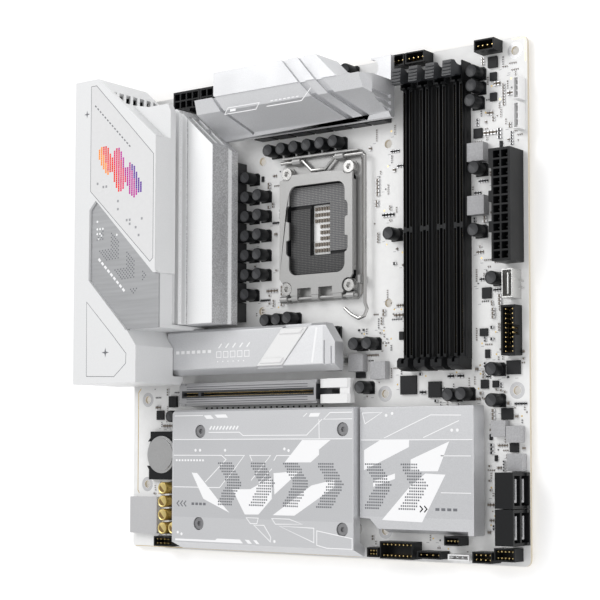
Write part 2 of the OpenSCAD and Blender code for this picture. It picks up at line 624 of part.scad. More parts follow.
// phases along the left and along the top
left_phases = [for (k = [0 : 7]) 124 + k * 10.4];
top_phases = [for (k = [0 : 6]) 94.5 + k * 11.6];
module vrm_thermal_pads() on_board() color("lightslategray") {
    box([56, 119, 1.0], [65, 203.5, 2.0]);
    box([93, 227, 1.0], [159.5, 236, 2.0]);
}
module power_stages() on_board() color("#202124") {
    for (y = left_phases) box([57.5, y - 2.5, 0], [63.5, y + 2.5, 1.0]);
    for (x = top_phases) box([x - 2.5, 228.5, 0], [x + 2.5, 234.5, 1.0]);
}
module choke(x, y, w, d, h) {
    box([x - w / 2, y - d / 2, 0.3], [x + w / 2, y + d / 2, h]);
    for (s = [-1, 1]) box([x - w / 2 + 0.6, y + s * (d / 2 - 0.9) - 0.7, 0],
        [x + w / 2 - 0.6, y + s * (d / 2 - 0.9) + 0.7, 0.3]);
}
module vrm_chokes() on_board() color("#4a4b4e") {
    for (y = left_phases) choke(73.6, y, 10.4, 9.8, 7.4);
    for (x = top_phases) choke(x, 217.4, 10.4, 10.2, 7.4);
}

// ---- capacitors ----

module can(x, y, r = cap_r, h = cap_h) {
    translate([x, y, 0.9]) cylinder(h = h - 0.9, r = r);
    // square plastic base
    box([x - r, y - r, 0], [x + r, y + r, 0.9]);
}
CAPS = concat(
    [for (k = [0 : 5]) [98.9 + k * 8.18, 205.6]],
    [for (k = [0 : 4]) [92.1, 142.7 + k * 10.18]],
    [for (k = [0 : 6]) [84.2, 132.6 + k * 10.08]],
    [[97.2, 118.7], [104.5, 118.8], [111.4, 119.2], [152.2, 104.4], [160, 104.5], [156, 83.2],
     [205.5, 78.6], [212.5, 78.9], [219.1, 229], [219.1, 222.2], [218.3, 215.3], [220, 183.6],
     [219.6, 154.6], [228.9, 131.7], [228.6, 89.9], [228.6, 75.6], [172.6, 156.9],
     [147, 240.4], [33.9, 70.6]]);
module polymer_capacitors() on_board() color("#232427") for (p = CAPS) can(p[0], p[1]);
AUDIO_CAPS = [[28.9, 11.4], [28.9, 18.5], [28.9, 25.5], [28.9, 32.6], [36.2, 11.7]];
module audio_capacitors() on_board() color("darkgoldenrod") for (p = AUDIO_CAPS) can(p[0], p[1]);

// ---- drive and chipset cooling ----

drive_x0 = 39.2;
drive_x1 = 147.2;
drive_profile = [[91.6, 9.6], [91.6, 12], [94.6, drive_top], [113.6, drive_top], [115, 15.4],
    [115, 9.6]];
channel_y = 89.8;
channel_slope = 0.86;               // how far the release lever's channel leans, X per Y
function channel_point(x, y) = [x + channel_slope * (y - channel_y), y];
module leaning_strip(x0, x1, y0, y1, z0, z1) prism_z([channel_point(x0, y0),
    channel_point(x1, y0), channel_point(x1, y1), channel_point(x0, y1)], z0, z1);
module m2_upper_heatsink() on_board() color("#c9cacc") difference() {
    prism_x(drive_profile, drive_x0, drive_x1);
    // bevelled front corner and the ribs beside it
    prism_z([[drive_x1 - 7, 116], [drive_x1 + 1, 116], [drive_x1 + 1, 104]], 0, 30);
    box([drive_x1 - 6.8, 90, drive_top - 1], [drive_x1 - 6.2, 106, drive_top + 1]);
    box([drive_x1 - 2.6, 90, drive_top - 1], [drive_x1 - 2.0, 103, drive_top + 1]);
    // channel for the release lever
    leaning_strip(94.9, 111.0, channel_y, 116.4, drive_top - 1.6, 30);
}
module m2_release_lever() on_board() color("white") {
    leaning_strip(95.1, 110.8, 94.8, 113.2, drive_top - 1.5, drive_top + 0.8);
    // thumb ridges at both ends
    for (y = [96, 110.2])
        leaning_strip(96.6, 109.4, y, y + 2.4, drive_top + 0.8, drive_top + 1.7);
}

plate_x0 = 39.5;
plate_x1 = 155.4;
module m2_lower_heatsink() on_board() color("#d2d3d5") difference() {
    prism_x([[1.6, 3.2], [1.2, 4.2], [4.9, plate_top], [72.6, plate_top], [73.6, plate_top - 1],
             [73.6, 7.4], [8.2, 7.4], [5.4, 3.2]], plate_x0, plate_x1);
    translate([plate_x0, 0, 0]) prism_z([[-1, 60], [0, 74 - 2.4], [2.4, 75], [-1, 75]], 0, 30);
    for (p = PLATE_SCREWS) translate([p[0], p[1], 6]) {
        cylinder(h = 10, r = 1.9);
        translate([0, 0, 4.6]) cylinder(h = 10, r = 3.4);
    }
}
PLATE_SCREWS = [[58.6, 62.4], [148.9, 62.8], [57.8, 14.8], [148.7, 14.4]];
chip_x0 = 156.2;
chip_x1 = 219.4;
module chipset_heatsink() on_board() color("#d2d3d5") difference() {
    union() {
        prism_z([[chip_x0, 20.2], [162, 19.9], [166.7, 15.2], [chip_x1, 15.2], [chip_x1, 73.4],
                 [chip_x0, 73.4]], 4.4, chipset_top);
        // skirts along the bottom and the front
        prism_x([[13.4, 2.6], [15.6, chipset_top], [17, chipset_top], [17, 2.6]], 168.4, chip_x1);
        prism_y([[chip_x1, 2.6], [221.6, 2.6], [chip_x1 + 0.1, chipset_top],
                 [chip_x1 - 3, chipset_top], [chip_x1 - 3, 2.6]], 13.4, 73.4);
        // foot on the chipset
        box([180, 33, 2.6], [204, 57, 5]);
    }
    prism_z([[chip_x1 - 1, 12], [230, 12], [230, 17.8]], 0, 30);
}
module chipset() on_board() color("#1d3a2a") {
    box([177, 30, 0], [207, 60, 1.2]);
    box([186, 38, 1.2], [198, 50, 2.4]);
}

module plate_screws() on_board() color("gray") {
    for (p = PLATE_SCREWS) translate([p[0], p[1], 0]) {
        difference() {
            translate([0, 0, 10.6]) cylinder(h = 1.8, r = 3.0);
            translate([0, 0, 11.4]) cylinder(h = 3, r = 1.4, $fn = 6);
        }
        translate([0, 0, 4.6]) cylinder(h = 6.0, r = 1.4);
    }
}

module m2_socket(x, y) {
    difference() {
        box([x, y - 11, 0], [x + 8.6, y + 11, 4.2]);
        box([x + 3, y - 10, 1.8], [x + 9, y + 10, 3.2]);
    }
}
module m2_connectors() on_board() color("#1b1c1e") {
    m2_socket(131, 103);
    m2_socket(136.6, 49);
    m2_socket(136.6, 24);
}
module m2_standoffs() on_board() color("silver") {
    for (p = PLATE_SCREWS) translate([p[0], p[1], 0]) difference() {
        cylinder(h = 7.3, r = 3);
        translate([0, 0, 3]) cylinder(h = 6, r = 1.6);
    }
    for (p = [[48, 103], [142.6, 97]]) translate([p[0], p[1], 0]) cylinder(h = 9.6, r = 2.6);
}

// ---- connectors ----

// block of square power sockets, columns along X and rows along Y
module power_block(x, y, nx, ny, h = 12.8) {
    p = 4.2;
    difference() {
        box([x, y, 0], [x + nx * p + 1.4, y + ny * p + 1.4, h]);
        for (i = [0 : nx - 1], j = [0 : ny - 1])
            box([x + 0.95 + i * p + 0.1, y + 0.95 + j * p + 0.1, 3],
                [x + 0.95 + i * p + 3.4, y + 0.95 + j * p + 3.4, h + 1]);
    }
    for (i = [0 : nx - 1], j = [0 : ny - 1])
        box([x + 2.2 + i * p, y + 2.2 + j * p, 3], [x + 3.2 + i * p, y + 3.2 + j * p, h - 2.4]);
}
atx_x = 231.7;
atx_y = 138.6;
module atx_power_connector() on_board() color("#202124") {
    power_block(atx_x, atx_y, 2, 12);
    // latch bridge and guides on the rear side
    box([atx_x - 1.5, 152, 5], [atx_x, 157, 12.8]);
    box([atx_x - 1.5, 166, 5], [atx_x, 171, 12.8]);
    box([atx_x - 1.5, 181.6, 0], [atx_x, 190.4, 12.8]);
    tails([for (j = [0 : 3], i = [0 : 1]) [atx_x + 2.7 + i * 4.2, atx_y + 3 + j * 15]]);
}
module eps_power_connectors() on_board() color("#202124") {
    power_block(38.4, 233.1, 4, 2);
    power_block(56.8, 233.1, 2, 2);
    box([44, 231.6, 6], [50, 233.1, 12.8]);
    box([59.5, 231.6, 6], [64, 233.1, 12.8]);
    tails([[41, 236], [52, 236], [60, 236]]);
}

module usb_c_header() on_board() color("silver") {
    difference() {
        box([234.4, 121.9, 0], [240, 135.3, 8.6]);
        box([235, 122.6, 2], [239.4, 134.6, 9]);
    }
    box([236.7, 123.6, 2], [237.5, 133.6, 7.6]);
    for (y = [126.4, 129.6]) box([240, y, 0], [241.4, y + 0.8, 1.6]);
    tails([[235.4, 123.4], [235.4, 133.8], [239, 123.4], [239, 133.8]]);
}

// open box header with pins: corner, size, pins along X and Y
module box_header(x, y, w, d, h, nx, ny, wall = 1.0) {
    difference() {
        box([x, y, 0], [x + w, y + d, h]);
        box([x + wall, y + wall, 1.6], [x + w - wall, y + d - wall, h + 1]);
    }
    px = nx > 1 ? (w - 2 * wall - 1.6) / (nx - 1) : 0;
    py = ny > 1 ? (d - 2 * wall - 1.6) / (ny - 1) : 0;
    for (i = [0 : nx - 1], j = [0 : ny - 1])
        translate([nx > 1 ? x + wall + 0.8 + i * px : x + w / 2,
                   ny > 1 ? y + wall + 0.8 + j * py : y + d / 2, 1.6])
            translate([-0.3, -0.3, 0]) cube([0.6, 0.6, h - 2.8]);
}
module usb3_header() on_board() color("#202124") {
    difference() {
        box_header(233, 95.9, 7.3, 23, 7, 2, 10);
        box([239, 105, 2.6], [241, 109.6, 8]);
    }
    box([232.2, 97.4, 0], [233, 117.4, 2.2]);
    tails([[236.6, 98], [236.6, 117]]);
}

sata_h = 14.5;
module sata_block(y) {
    difference() {
        union() {
            box([233.6, y, 0], [242.9, y + 16.3, sata_h]);
            box([242.9, y, 0], [243.8, y + 16.3, 3]);
        }
        for (z = [1.2, 8]) {
            // opening around the tongue, with the L-shaped end
            box([236.4, y + 1.4, z], [245, y + 14.8, z + 5.2]);
        }
    }
    for (z = [1.2, 8]) {
        box([236.4, y + 2.8, z + 2.2], [242.4, y + 13.4, z + 3.4]);
        box([236.4, y + 2.8, z + 3.4], [242.4, y + 4.0, z + 4.6]);
    }
    tails([[235, y + 2], [235, y + 14]]);
}
module sata_ports() on_board() color("#1d1e20") {
    sata_block(9.8);
    sata_block(26.4);
}

// fan, pump and light-strip headers: x, y, width, depth
FAN_HEADERS = [[171.2, 237.6, 10.6, 5.6], [182.4, 237.6, 10.8, 5.6], [220.4, 237.6, 10.6, 5.6],
    [188.4, 2, 12.8, 3.6], [203.2, 8.6, 8.4, 4.2]];
module fan_headers() on_board() color("#202124") {
    for (f = FAN_HEADERS) box_header(f[0], f[1], f[2], f[3], 8.4, 4, 1, 0.7);
    tails([for (f = FAN_HEADERS) [f[0] + f[2] / 2, f[1] + f[3] / 2]]);
}
// front panel, USB 2 and light headers: x, y, width, depth, pins along X
FRONT_HEADERS = [[160, 1.6, 6.4, 4.6, 3], [167.4, 1.2, 18.6, 8.2, 8], [218.2, 1.2, 10.4, 5.2, 4],
    [229.6, 2.4, 10.6, 6.0, 5], [22.6, 1.8, 13.4, 5.2, 5]];
WHITE_HEADERS = [[239.6, 213.4, 3.2, 10.4], [239.6, 199.6, 3.2, 12.4], [204, 1.8, 11.4, 2.8]];
module front_panel_headers() on_board() {
    color("#202124") for (f = FRONT_HEADERS)
        box_header(f[0], f[1], f[2], f[3], 8.4, f[4], 2, 0.7);
    color("white") for (f = WHITE_HEADERS) box_header(f[0], f[1], f[2], f[3], 6.4,
        f[2] > f[3] ? 4 : 1, f[2] > f[3] ? 1 : 4, 0.6);
    tails([for (f = FRONT_HEADERS) [f[0] + f[2] / 2, f[1] + f[3] / 2]]);
}

// ---- battery, audio and chips ----

cell_x = 23.2;
cell_y = 50.3;
module battery_holder() on_board() color("#1b1c1e") difference() {
    union() {
        translate([cell_x, cell_y, 0]) cylinder(h = 3.4, r = 12);
        box([cell_x - 9, cell_y - 13.4, 0], [cell_x + 11, cell_y - 8, 3.4]);
        box([cell_x - 8, cell_y + 6, 0], [cell_x + 11, cell_y + 12.4, 3.4]);
    }
    translate([cell_x, cell_y, 1.2]) cylinder(h = 5, r = 10.2);
    // open flanks where the cell is lifted out
    box([cell_x - 14, cell_y - 6, 1.2], [cell_x - 6, cell_y + 7, 5]);
}
module coin_cell() on_board() color("#a4a5a7") {
    translate([cell_x, cell_y, 1.25]) cylinder(h = 2.4, r = 10);
    translate([cell_x, cell_y, 3.65]) cylinder(h = 0.6, r = 8.6);
}

module audio_codec_shield() on_board() color("#c4c5c7") difference() {
    box([1.2, 8, 0], [20.6, 27.6, 4]);
    box([1.8, 8.6, -1], [20, 27, 3.4]);
}

// flat chips: x, y, width, depth, height
CHIPS = [[5.6, 12.4, 7, 7, 1.2], [26.6, 75.6, 5.4, 6, 1.8], [17.4, 69, 5, 5, 1.2],
    [223.8, 231, 4.8, 5.2, 1.6], [224.6, 224.8, 3.4, 4, 1.2], [224.6, 215.2, 3.4, 4, 1.2],
    [215.6, 198.8, 4.6, 4.6, 1], [219.8, 123, 4.8, 5.2, 1.2], [218.4, 105.6, 4.2, 3.6, 1],
    [232.6, 87.4, 7, 6.4, 1.4], [218.8, 81.2, 4, 4.2, 1], [225, 81.6, 3.2, 3.2, 1],
    [229.6, 66.7, 6, 5.4, 1.2], [233.8, 51.8, 4.6, 4.2, 1], [174.6, 79.4, 9, 9, 1.4],
    [190.4, 77.6, 7, 7.6, 1.4], [148.5, 88, 5.4, 2.9, 1.2], [22, 160, 9, 9, 1.2],
    [24, 205, 7, 7, 1.2], [100, 60, 8, 8, 1.2]];
module controller_chips() on_board() color("#2d2e31")
    for (c = CHIPS) box([c[0], c[1], 0], [c[0] + c[2], c[1] + c[3], c[4]]);

// moulded chokes: x, y, side, height
CHOKES = [[218.7, 191.6, 8.8, 5], [218.8, 166.6, 9, 5], [150.6, 95.4, 8.6, 4.4],
    [163.6, 91.4, 8.6, 4.4], [229.8, 62.6, 7.4, 4.4], [237.6, 60, 7.6, 4.4],
    [238.2, 47.2, 8, 4.4]];
module filter_chokes() on_board() color("#8d8e90")
    for (c = CHOKES) choke(c[0], c[1], c[2], c[2], c[3]);

pcb();
cpu_backplate();
cpu_socket();
socket_contacts();
socket_decouplers();
ilm_frame();
ilm_load_plate();
ilm_lever();
ilm_screws();
dimm_slot_1();
dimm_slot_2();
dimm_slot_3();
dimm_slot_4();
dimm_latch_1();
dimm_latch_2();
dimm_latch_3();
dimm_latch_4();
pcie_slot();
slot_contacts();
pcie_armor();
pcie_latch();
io_shroud();
io_light_panel();
io_light_board();
io_brushed_panel();
io_shield();
rear_usb_ports();
rear_video_ports();
rear_lan_port();
rear_audio_jacks();
antenna_connectors();
flashback_button();
clear_cmos_button();
vrm_heatsink_left();
vrm_heatsink_top();
vrm_thermal_pads();
power_stages();
vrm_chokes();
polymer_capacitors();
audio_capacitors();
m2_upper_heatsink();
m2_release_lever();
m2_lower_heatsink();
chipset_heatsink();
chipset();
plate_screws();
m2_connectors();
m2_standoffs();
atx_power_connector();
eps_power_connectors();
usb_c_header();
usb3_header();
sata_ports();
fan_headers();
front_panel_headers();
battery_holder();
coin_cell();
audio_codec_shield();
controller_chips();
filter_chokes();
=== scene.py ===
import math
import random

import bmesh
import bpy
from mathutils import Matrix, Vector


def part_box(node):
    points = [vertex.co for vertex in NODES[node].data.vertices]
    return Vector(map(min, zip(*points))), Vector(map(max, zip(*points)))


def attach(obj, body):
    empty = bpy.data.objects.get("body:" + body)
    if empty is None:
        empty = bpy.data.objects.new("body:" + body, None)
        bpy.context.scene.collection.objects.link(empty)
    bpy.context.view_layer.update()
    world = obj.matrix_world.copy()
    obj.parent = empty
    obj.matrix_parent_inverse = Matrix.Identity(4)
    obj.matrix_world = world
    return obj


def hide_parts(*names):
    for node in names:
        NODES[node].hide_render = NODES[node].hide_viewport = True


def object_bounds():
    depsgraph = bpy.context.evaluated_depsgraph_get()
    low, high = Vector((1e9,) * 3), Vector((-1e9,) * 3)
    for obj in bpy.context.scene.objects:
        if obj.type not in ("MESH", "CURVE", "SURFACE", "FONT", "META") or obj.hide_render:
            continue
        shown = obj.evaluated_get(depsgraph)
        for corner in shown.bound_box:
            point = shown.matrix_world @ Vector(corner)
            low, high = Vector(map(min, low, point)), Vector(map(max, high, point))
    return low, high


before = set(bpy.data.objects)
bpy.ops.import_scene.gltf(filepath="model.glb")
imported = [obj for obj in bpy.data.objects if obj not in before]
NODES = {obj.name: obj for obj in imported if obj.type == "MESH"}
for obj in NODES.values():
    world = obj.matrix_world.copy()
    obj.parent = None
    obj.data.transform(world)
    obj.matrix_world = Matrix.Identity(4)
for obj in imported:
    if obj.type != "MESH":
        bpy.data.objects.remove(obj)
cad_bounds = [list(corner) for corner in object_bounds()]

MM = 0.001
BOARD_LOW, BOARD_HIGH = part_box("pcb")
BOARD_MM = (BOARD_HIGH.x - BOARD_LOW.x) / MM
PCB_MM = (BOARD_HIGH.z - BOARD_LOW.z) / MM


def at(x, y, z=0.0):
    """A point in millimetres from the board's rear bottom corner and above its component side."""
    return Vector((BOARD_LOW.x + x * MM, BOARD_LOW.y + y * MM, BOARD_HIGH.z + z * MM))


def span(node):
    """A node's lowest and highest corners in the same millimetres."""
    low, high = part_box(node)
    origin = at(0, 0)
    return [list((corner - origin) / MM) for corner in (low, high)]


# ---------------------------------------------------------------- materials

def new_nodes(name):
    """A material with its node tree and its main shader."""
    made = bpy.data.materials.new(name)
    made.use_nodes = True
    tree = made.node_tree
    return made, tree, tree.nodes["Principled BSDF"]


def object_noise(tree, scale, stretch=(1, 1, 1), detail=4.0, rough=0.55):
    """Noise fixed to the object's own coordinates, in features per metre."""
    place = tree.nodes.new("ShaderNodeTexCoord")
    mapping = tree.nodes.new("ShaderNodeMapping")
    mapping.inputs["Scale"].default_value = stretch
    noise = tree.nodes.new("ShaderNodeTexNoise")
    noise.inputs["Scale"].default_value = scale
    noise.inputs["Detail"].default_value = detail
    noise.inputs["Roughness"].default_value = rough
    tree.links.new(place.outputs["Object"], mapping.inputs["Vector"])
    tree.links.new(mapping.outputs["Vector"], noise.inputs["Vector"])
    return noise.outputs["Fac"]


def remap(tree, value, low, high, start=0.3, end=0.7):
    """Turns start to end into low to high."""
    node = tree.nodes.new("ShaderNodeMapRange")
    node.inputs["From Min"].default_value = start
    node.inputs["From Max"].default_value = end
    node.inputs["To Min"].default_value = low
    node.inputs["To Max"].default_value = high
    tree.links.new(value, node.inputs["Value"])
    return node.outputs["Result"]


# the colour sockets of the Mix node, which has a set of sockets for each kind of value
MIX_FIRST, MIX_SECOND, MIX_RESULT = 6, 7, 2


def mix_colors(tree, factor, first, second):
    """first where factor is 0 and second where it is 1; each is a colour or a socket."""
    node = tree.nodes.new("ShaderNodeMix")
    node.data_type = "RGBA"
    tree.links.new(factor, node.inputs["Factor"])
    for socket, value in ((node.inputs[MIX_FIRST], first), (node.inputs[MIX_SECOND], second)):
        if isinstance(value, bpy.types.NodeSocket):
            tree.links.new(value, socket)
        else:
            socket.default_value = (*value, 1)
    return node.outputs[MIX_RESULT]


def facing(tree, axis, low, high):
    """0 to 1 as the surface turns towards the object's own axis."""
    place = tree.nodes.new("ShaderNodeTexCoord")
    split = tree.nodes.new("ShaderNodeSeparateXYZ")
    tree.links.new(place.outputs["Normal"], split.inputs[0])
    return remap(tree, split.outputs[axis], 0, 1, low, high)


def bumps(tree, shader, height, strength, distance):
    """Relief from a height socket; distance is in metres."""
    node = tree.nodes.new("ShaderNodeBump")
    node.inputs["Strength"].default_value = strength
    node.inputs["Distance"].default_value = distance
    tree.links.new(height, node.inputs["Height"])
    tree.links.new(node.outputs["Normal"], shader.inputs["Normal"])


def finish_of(name, color, rough, metal=0.0, grain=900, bump=0.15, depth=0.02, vary=0.06,
              tint=0.05, stretch=(1, 1, 1), coat=0.0, side=None, specular=0.5):
    """A surface with fine relief, uneven gloss and slight colour variation.

    grain is in features per metre and depth in millimetres, tint is the share by which the colour
    varies, and side is the colour of the faces that stand upright.
    """
    made, tree, shader = new_nodes(name)
    fine = object_noise(tree, grain, stretch)
    broad = object_noise(tree, 40, stretch, 3.0)
    darker = [c * (1 - tint) for c in color]
    lighter = [min(1, c * (1 + tint)) for c in color]
    base = mix_colors(tree, remap(tree, fine, 0, 1), darker, lighter)
    worn = mix_colors(tree, remap(tree, broad, 0, 0.35), base, darker)
    if side:
        worn = mix_colors(tree, facing(tree, "Z", 0.35, 0.75), side, worn)
    tree.links.new(worn, shader.inputs["Base Color"])
    tree.links.new(remap(tree, broad, max(0.03, rough - vary), min(1, rough + vary)),
                   shader.inputs["Roughness"])
    bumps(tree, shader, fine, bump, depth * MM)
    shader.inputs["Metallic"].default_value = metal
    shader.inputs["Coat Weight"].default_value = coat
    shader.inputs["Specular IOR Level"].default_value = specular
    return made


def glow_of(name, color, strength):
    """A lit print: the colour glows a little through an uneven diffuser."""
    made, tree, shader = new_nodes(name)
    cloud = object_noise(tree, 300)
    shade = mix_colors(tree, remap(tree, cloud, 0, 1), color, [min(1, c * 1.25) for c in color])
    tree.links.new(shade, shader.inputs["Base Color"])
    tree.links.new(shade, shader.inputs["Emission Color"])
    shader.inputs["Emission Strength"].default_value = strength
    tree.links.new(remap(tree, cloud, 0.3, 0.45), shader.inputs["Roughness"])
    bumps(tree, shader, cloud, 0.05, 0.02 * MM)
    return made


WHITE_PCB = finish_of("white_solder_mask", (0.86, 0.86, 0.855), 0.34, grain=260, bump=0.1,
                      depth=0.04, tint=0.03, side=(0.62, 0.55, 0.42))
SHROUD_WHITE = finish_of("shroud_white", (0.79, 0.795, 0.8), 0.36, grain=1500, bump=0.08,
                         tint=0.02)
PANEL_WHITE = finish_of("light_panel_white", (0.76, 0.76, 0.765), 0.22, grain=500, bump=0.03,
                        tint=0.02, coat=0.4)
WHITE_PLASTIC = finish_of("white_plastic", (0.82, 0.82, 0.82), 0.42, grain=1800, bump=0.12,
                          tint=0.02)
BLACK_PLASTIC = finish_of("black_plastic", (0.008, 0.0085, 0.0095), 0.42, grain=2200, bump=0.2,
                          depth=0.03, tint=0.25, specular=0.25)
DARK_PLASTIC = finish_of("dark_plastic", (0.035, 0.037, 0.041), 0.42, grain=2200, bump=0.2,
                         depth=0.03, tint=0.2)
CHIP_BLACK = finish_of("chip_black", (0.014, 0.0145, 0.016), 0.5, grain=1800, bump=0.2, tint=0.2,
                       specular=0.3)
BLASTED = finish_of("blasted_aluminium", (0.8, 0.805, 0.82), 0.42, metal=0.55, grain=2600,
                    bump=0.35, depth=0.03, tint=0.06)
DRIVE_GRAY = finish_of("drive_aluminium", (0.66, 0.665, 0.68), 0.42, metal=0.5, grain=2600,
                       bump=0.35, depth=0.03, tint=0.07)
NICKEL = finish_of("nickel_steel", (0.39, 0.388, 0.383), 0.42, metal=0.6, grain=1300, bump=0.07,
                   tint=0.04)
BRIGHT_STEEL = finish_of("bright_steel", (0.5, 0.495, 0.485), 0.27, metal=0.9, bump=0.06,
                         tint=0.06)
PORT_STEEL = finish_of("port_steel", (0.62, 0.62, 0.61), 0.3, metal=1.0, bump=0.06)
DARK_STEEL = finish_of("dark_steel", (0.11, 0.11, 0.12), 0.38, metal=0.6, grain=1200, bump=0.1,
                       tint=0.1)
GOLD = finish_of("gold_plating", (0.8, 0.6, 0.27), 0.28, metal=1.0, grain=800, bump=0.05,
                 tint=0.06)
BRUSHED = finish_of("brushed_nameplate", (0.44, 0.445, 0.455), 0.38, metal=0.8, grain=700,
                    bump=0.25, tint=0.09, stretch=(0.05, 1.0, 1.0))
FERRITE = finish_of("ferrite_gray", (0.4, 0.4, 0.41), 0.55, grain=1600, bump=0.4, depth=0.05,
                    tint=0.15)
DARK_FERRITE = finish_of("dark_ferrite", (0.03, 0.03, 0.032), 0.5, grain=1600, bump=0.4,
                         depth=0.05, tint=0.22, specular=0.3)
CAN_BLACK = finish_of("can_black", (0.006, 0.0065, 0.0075), 0.42, bump=0.08, tint=0.15,
                      specular=0.2)
CAN_GOLD = finish_of("can_gold", (0.52, 0.36, 0.09), 0.32, metal=0.6, grain=700, bump=0.06,
                     tint=0.06)
GOLD_TOP = finish_of("gold_can_top", (0.78, 0.62, 0.25), 0.3, metal=0.7, grain=700, bump=0.05,
                     tint=0.04)
THERMAL = finish_of("thermal_pad", (0.36, 0.39, 0.43), 0.8, bump=0.3, depth=0.05)
CARRIER = finish_of("chip_carrier", (0.02, 0.06, 0.035), 0.4, bump=0.1, depth=0.05)
CELL = finish_of("cell_steel", (0.5, 0.5, 0.5), 0.32, metal=0.9, bump=0.06)
TIN = finish_of("tinned_cover", (0.62, 0.62, 0.63), 0.42, metal=0.6, grain=1500, bump=0.12,
                tint=0.04)
TERMINAL = finish_of("solder_terminal", (0.66, 0.66, 0.67), 0.35, metal=0.9, grain=2000,
                     depth=0.03)
CERAMIC = finish_of("ceramic_tan", (0.2, 0.17, 0.14), 0.5, grain=2600, tint=0.2)
PRINT_WHITE = finish_of("white_print", (0.92, 0.92, 0.93), 0.5, grain=2000, bump=0.05, depth=0.01,
                        tint=0.01)
PRINT_DARK = finish_of("dark_print", (0.055, 0.056, 0.06), 0.5, grain=2000, bump=0.05, depth=0.01,
                       tint=0.1)
PRINT_GRAY = finish_of("gray_print", (0.33, 0.335, 0.35), 0.5, grain=2000, bump=0.05, depth=0.01)
CAN_LID = finish_of("can_lid", (0.03, 0.031, 0.034), 0.42, bump=0.08, tint=0.1)
PLATE_GRAY = finish_of("plate_gray", (0.64, 0.645, 0.66), 0.42, metal=0.5, grain=2600, bump=0.35,
                       depth=0.03, tint=0.08)
PLATE_BAND = finish_of("plate_band", (0.59, 0.595, 0.61), 0.42, metal=0.5, grain=2600, bump=0.35,
                       depth=0.03, tint=0.08)
TOP_GRAY = finish_of("top_sink_gray", (0.69, 0.695, 0.71), 0.44, metal=0.4, grain=2600, bump=0.4,
                     depth=0.03, tint=0.08)
SCREW_STEEL = finish_of("screw_steel", (0.3, 0.3, 0.31), 0.35, metal=0.8, bump=0.1, tint=0.1)
ARMOR = finish_of("slot_armor", (0.4, 0.4, 0.41), 0.4, metal=0.7, bump=0.12, tint=0.06,
                  stretch=(0.1, 1.0, 1.0))
PRINT_STEEL = finish_of("steel_print", (0.16, 0.165, 0.18), 0.5, grain=2000, bump=0.05,
                        depth=0.01, tint=0.08)
PRINT_BROWN = finish_of("brown_print", (0.2, 0.12, 0.03), 0.4, bump=0.05, depth=0.01, tint=0.1)
SPECTRUM = [glow_of(f"spectrum_{name}", color, 0.1) for name, color in
            (("orange", (0.85, 0.24, 0.01)), ("red", (0.70, 0.02, 0.01)),
             ("crimson", (0.62, 0.005, 0.10)), ("magenta", (0.42, 0.005, 0.26)),
             ("violet", (0.09, 0.01, 0.28)))]


def contact_field(name, gap, spring):
    """Fine rows of spring contacts in a dark frame."""
    contacts_per_metre = 1150
    made, tree, shader = new_nodes(name)
    place = tree.nodes.new("ShaderNodeTexCoord")
    cells = tree.nodes.new("ShaderNodeTexVoronoi")
    cells.inputs["Scale"].default_value = contacts_per_metre
    cells.inputs["Randomness"].default_value = 0.08
    tree.links.new(place.outputs["Object"], cells.inputs["Vector"])
    spots = remap(tree, cells.outputs["Distance"], 1, 0, 0.18, 0.36)
    shade = mix_colors(tree, spots, gap, spring)
    tree.links.new(shade, shader.inputs["Base Color"])
    tree.links.new(remap(tree, spots, 0.5, 0.28, 0, 1), shader.inputs["Roughness"])
    bumps(tree, shader, spots, 0.5, 0.1 * MM)
    return made


def fins_with_painted_side_shade():
    """Blasted metal, nearly white where it faces up; down its upright sides it is gray and
    speckled, and that gray is painted shade.
    """
    made, tree, shader = new_nodes("fins_with_painted_side_shade")
    fine = object_noise(tree, 2200)
    speck = object_noise(tree, 1500, detail=2.0)
    top = mix_colors(tree, remap(tree, fine, 0, 1), (0.84, 0.845, 0.85), (0.90, 0.905, 0.91))
    # painted shade: the upright faces get this darker gray, while the top stays nearly white
    side = mix_colors(tree, remap(tree, speck, 0, 1, 0.40, 0.64), (0.50, 0.50, 0.51),
                      (0.76, 0.765, 0.78))
    tree.links.new(mix_colors(tree, facing(tree, "Z", 0.3, 0.8), side, top),
                   shader.inputs["Base Color"])
    tree.links.new(remap(tree, speck, 0.34, 0.5), shader.inputs["Roughness"])
    shader.inputs["Metallic"].default_value = 0.25
    bumps(tree, shader, fine, 0.4, 0.03 * MM)
    return made


CONTACTS = contact_field("contact_field", (0.09, 0.092, 0.097), (0.36, 0.35, 0.34))
# the same contacts with painted shade, for the half whose springs lean away from the light
PAINTED_SHADE_CONTACTS = contact_field("contact_field_painted_shade", (0.02, 0.021, 0.023), (0.15, 0.145, 0.14))
# the left heatsink's metal, with painted shade on its upright sides
PAINTED_SHADE_FINS = fins_with_painted_side_shade()

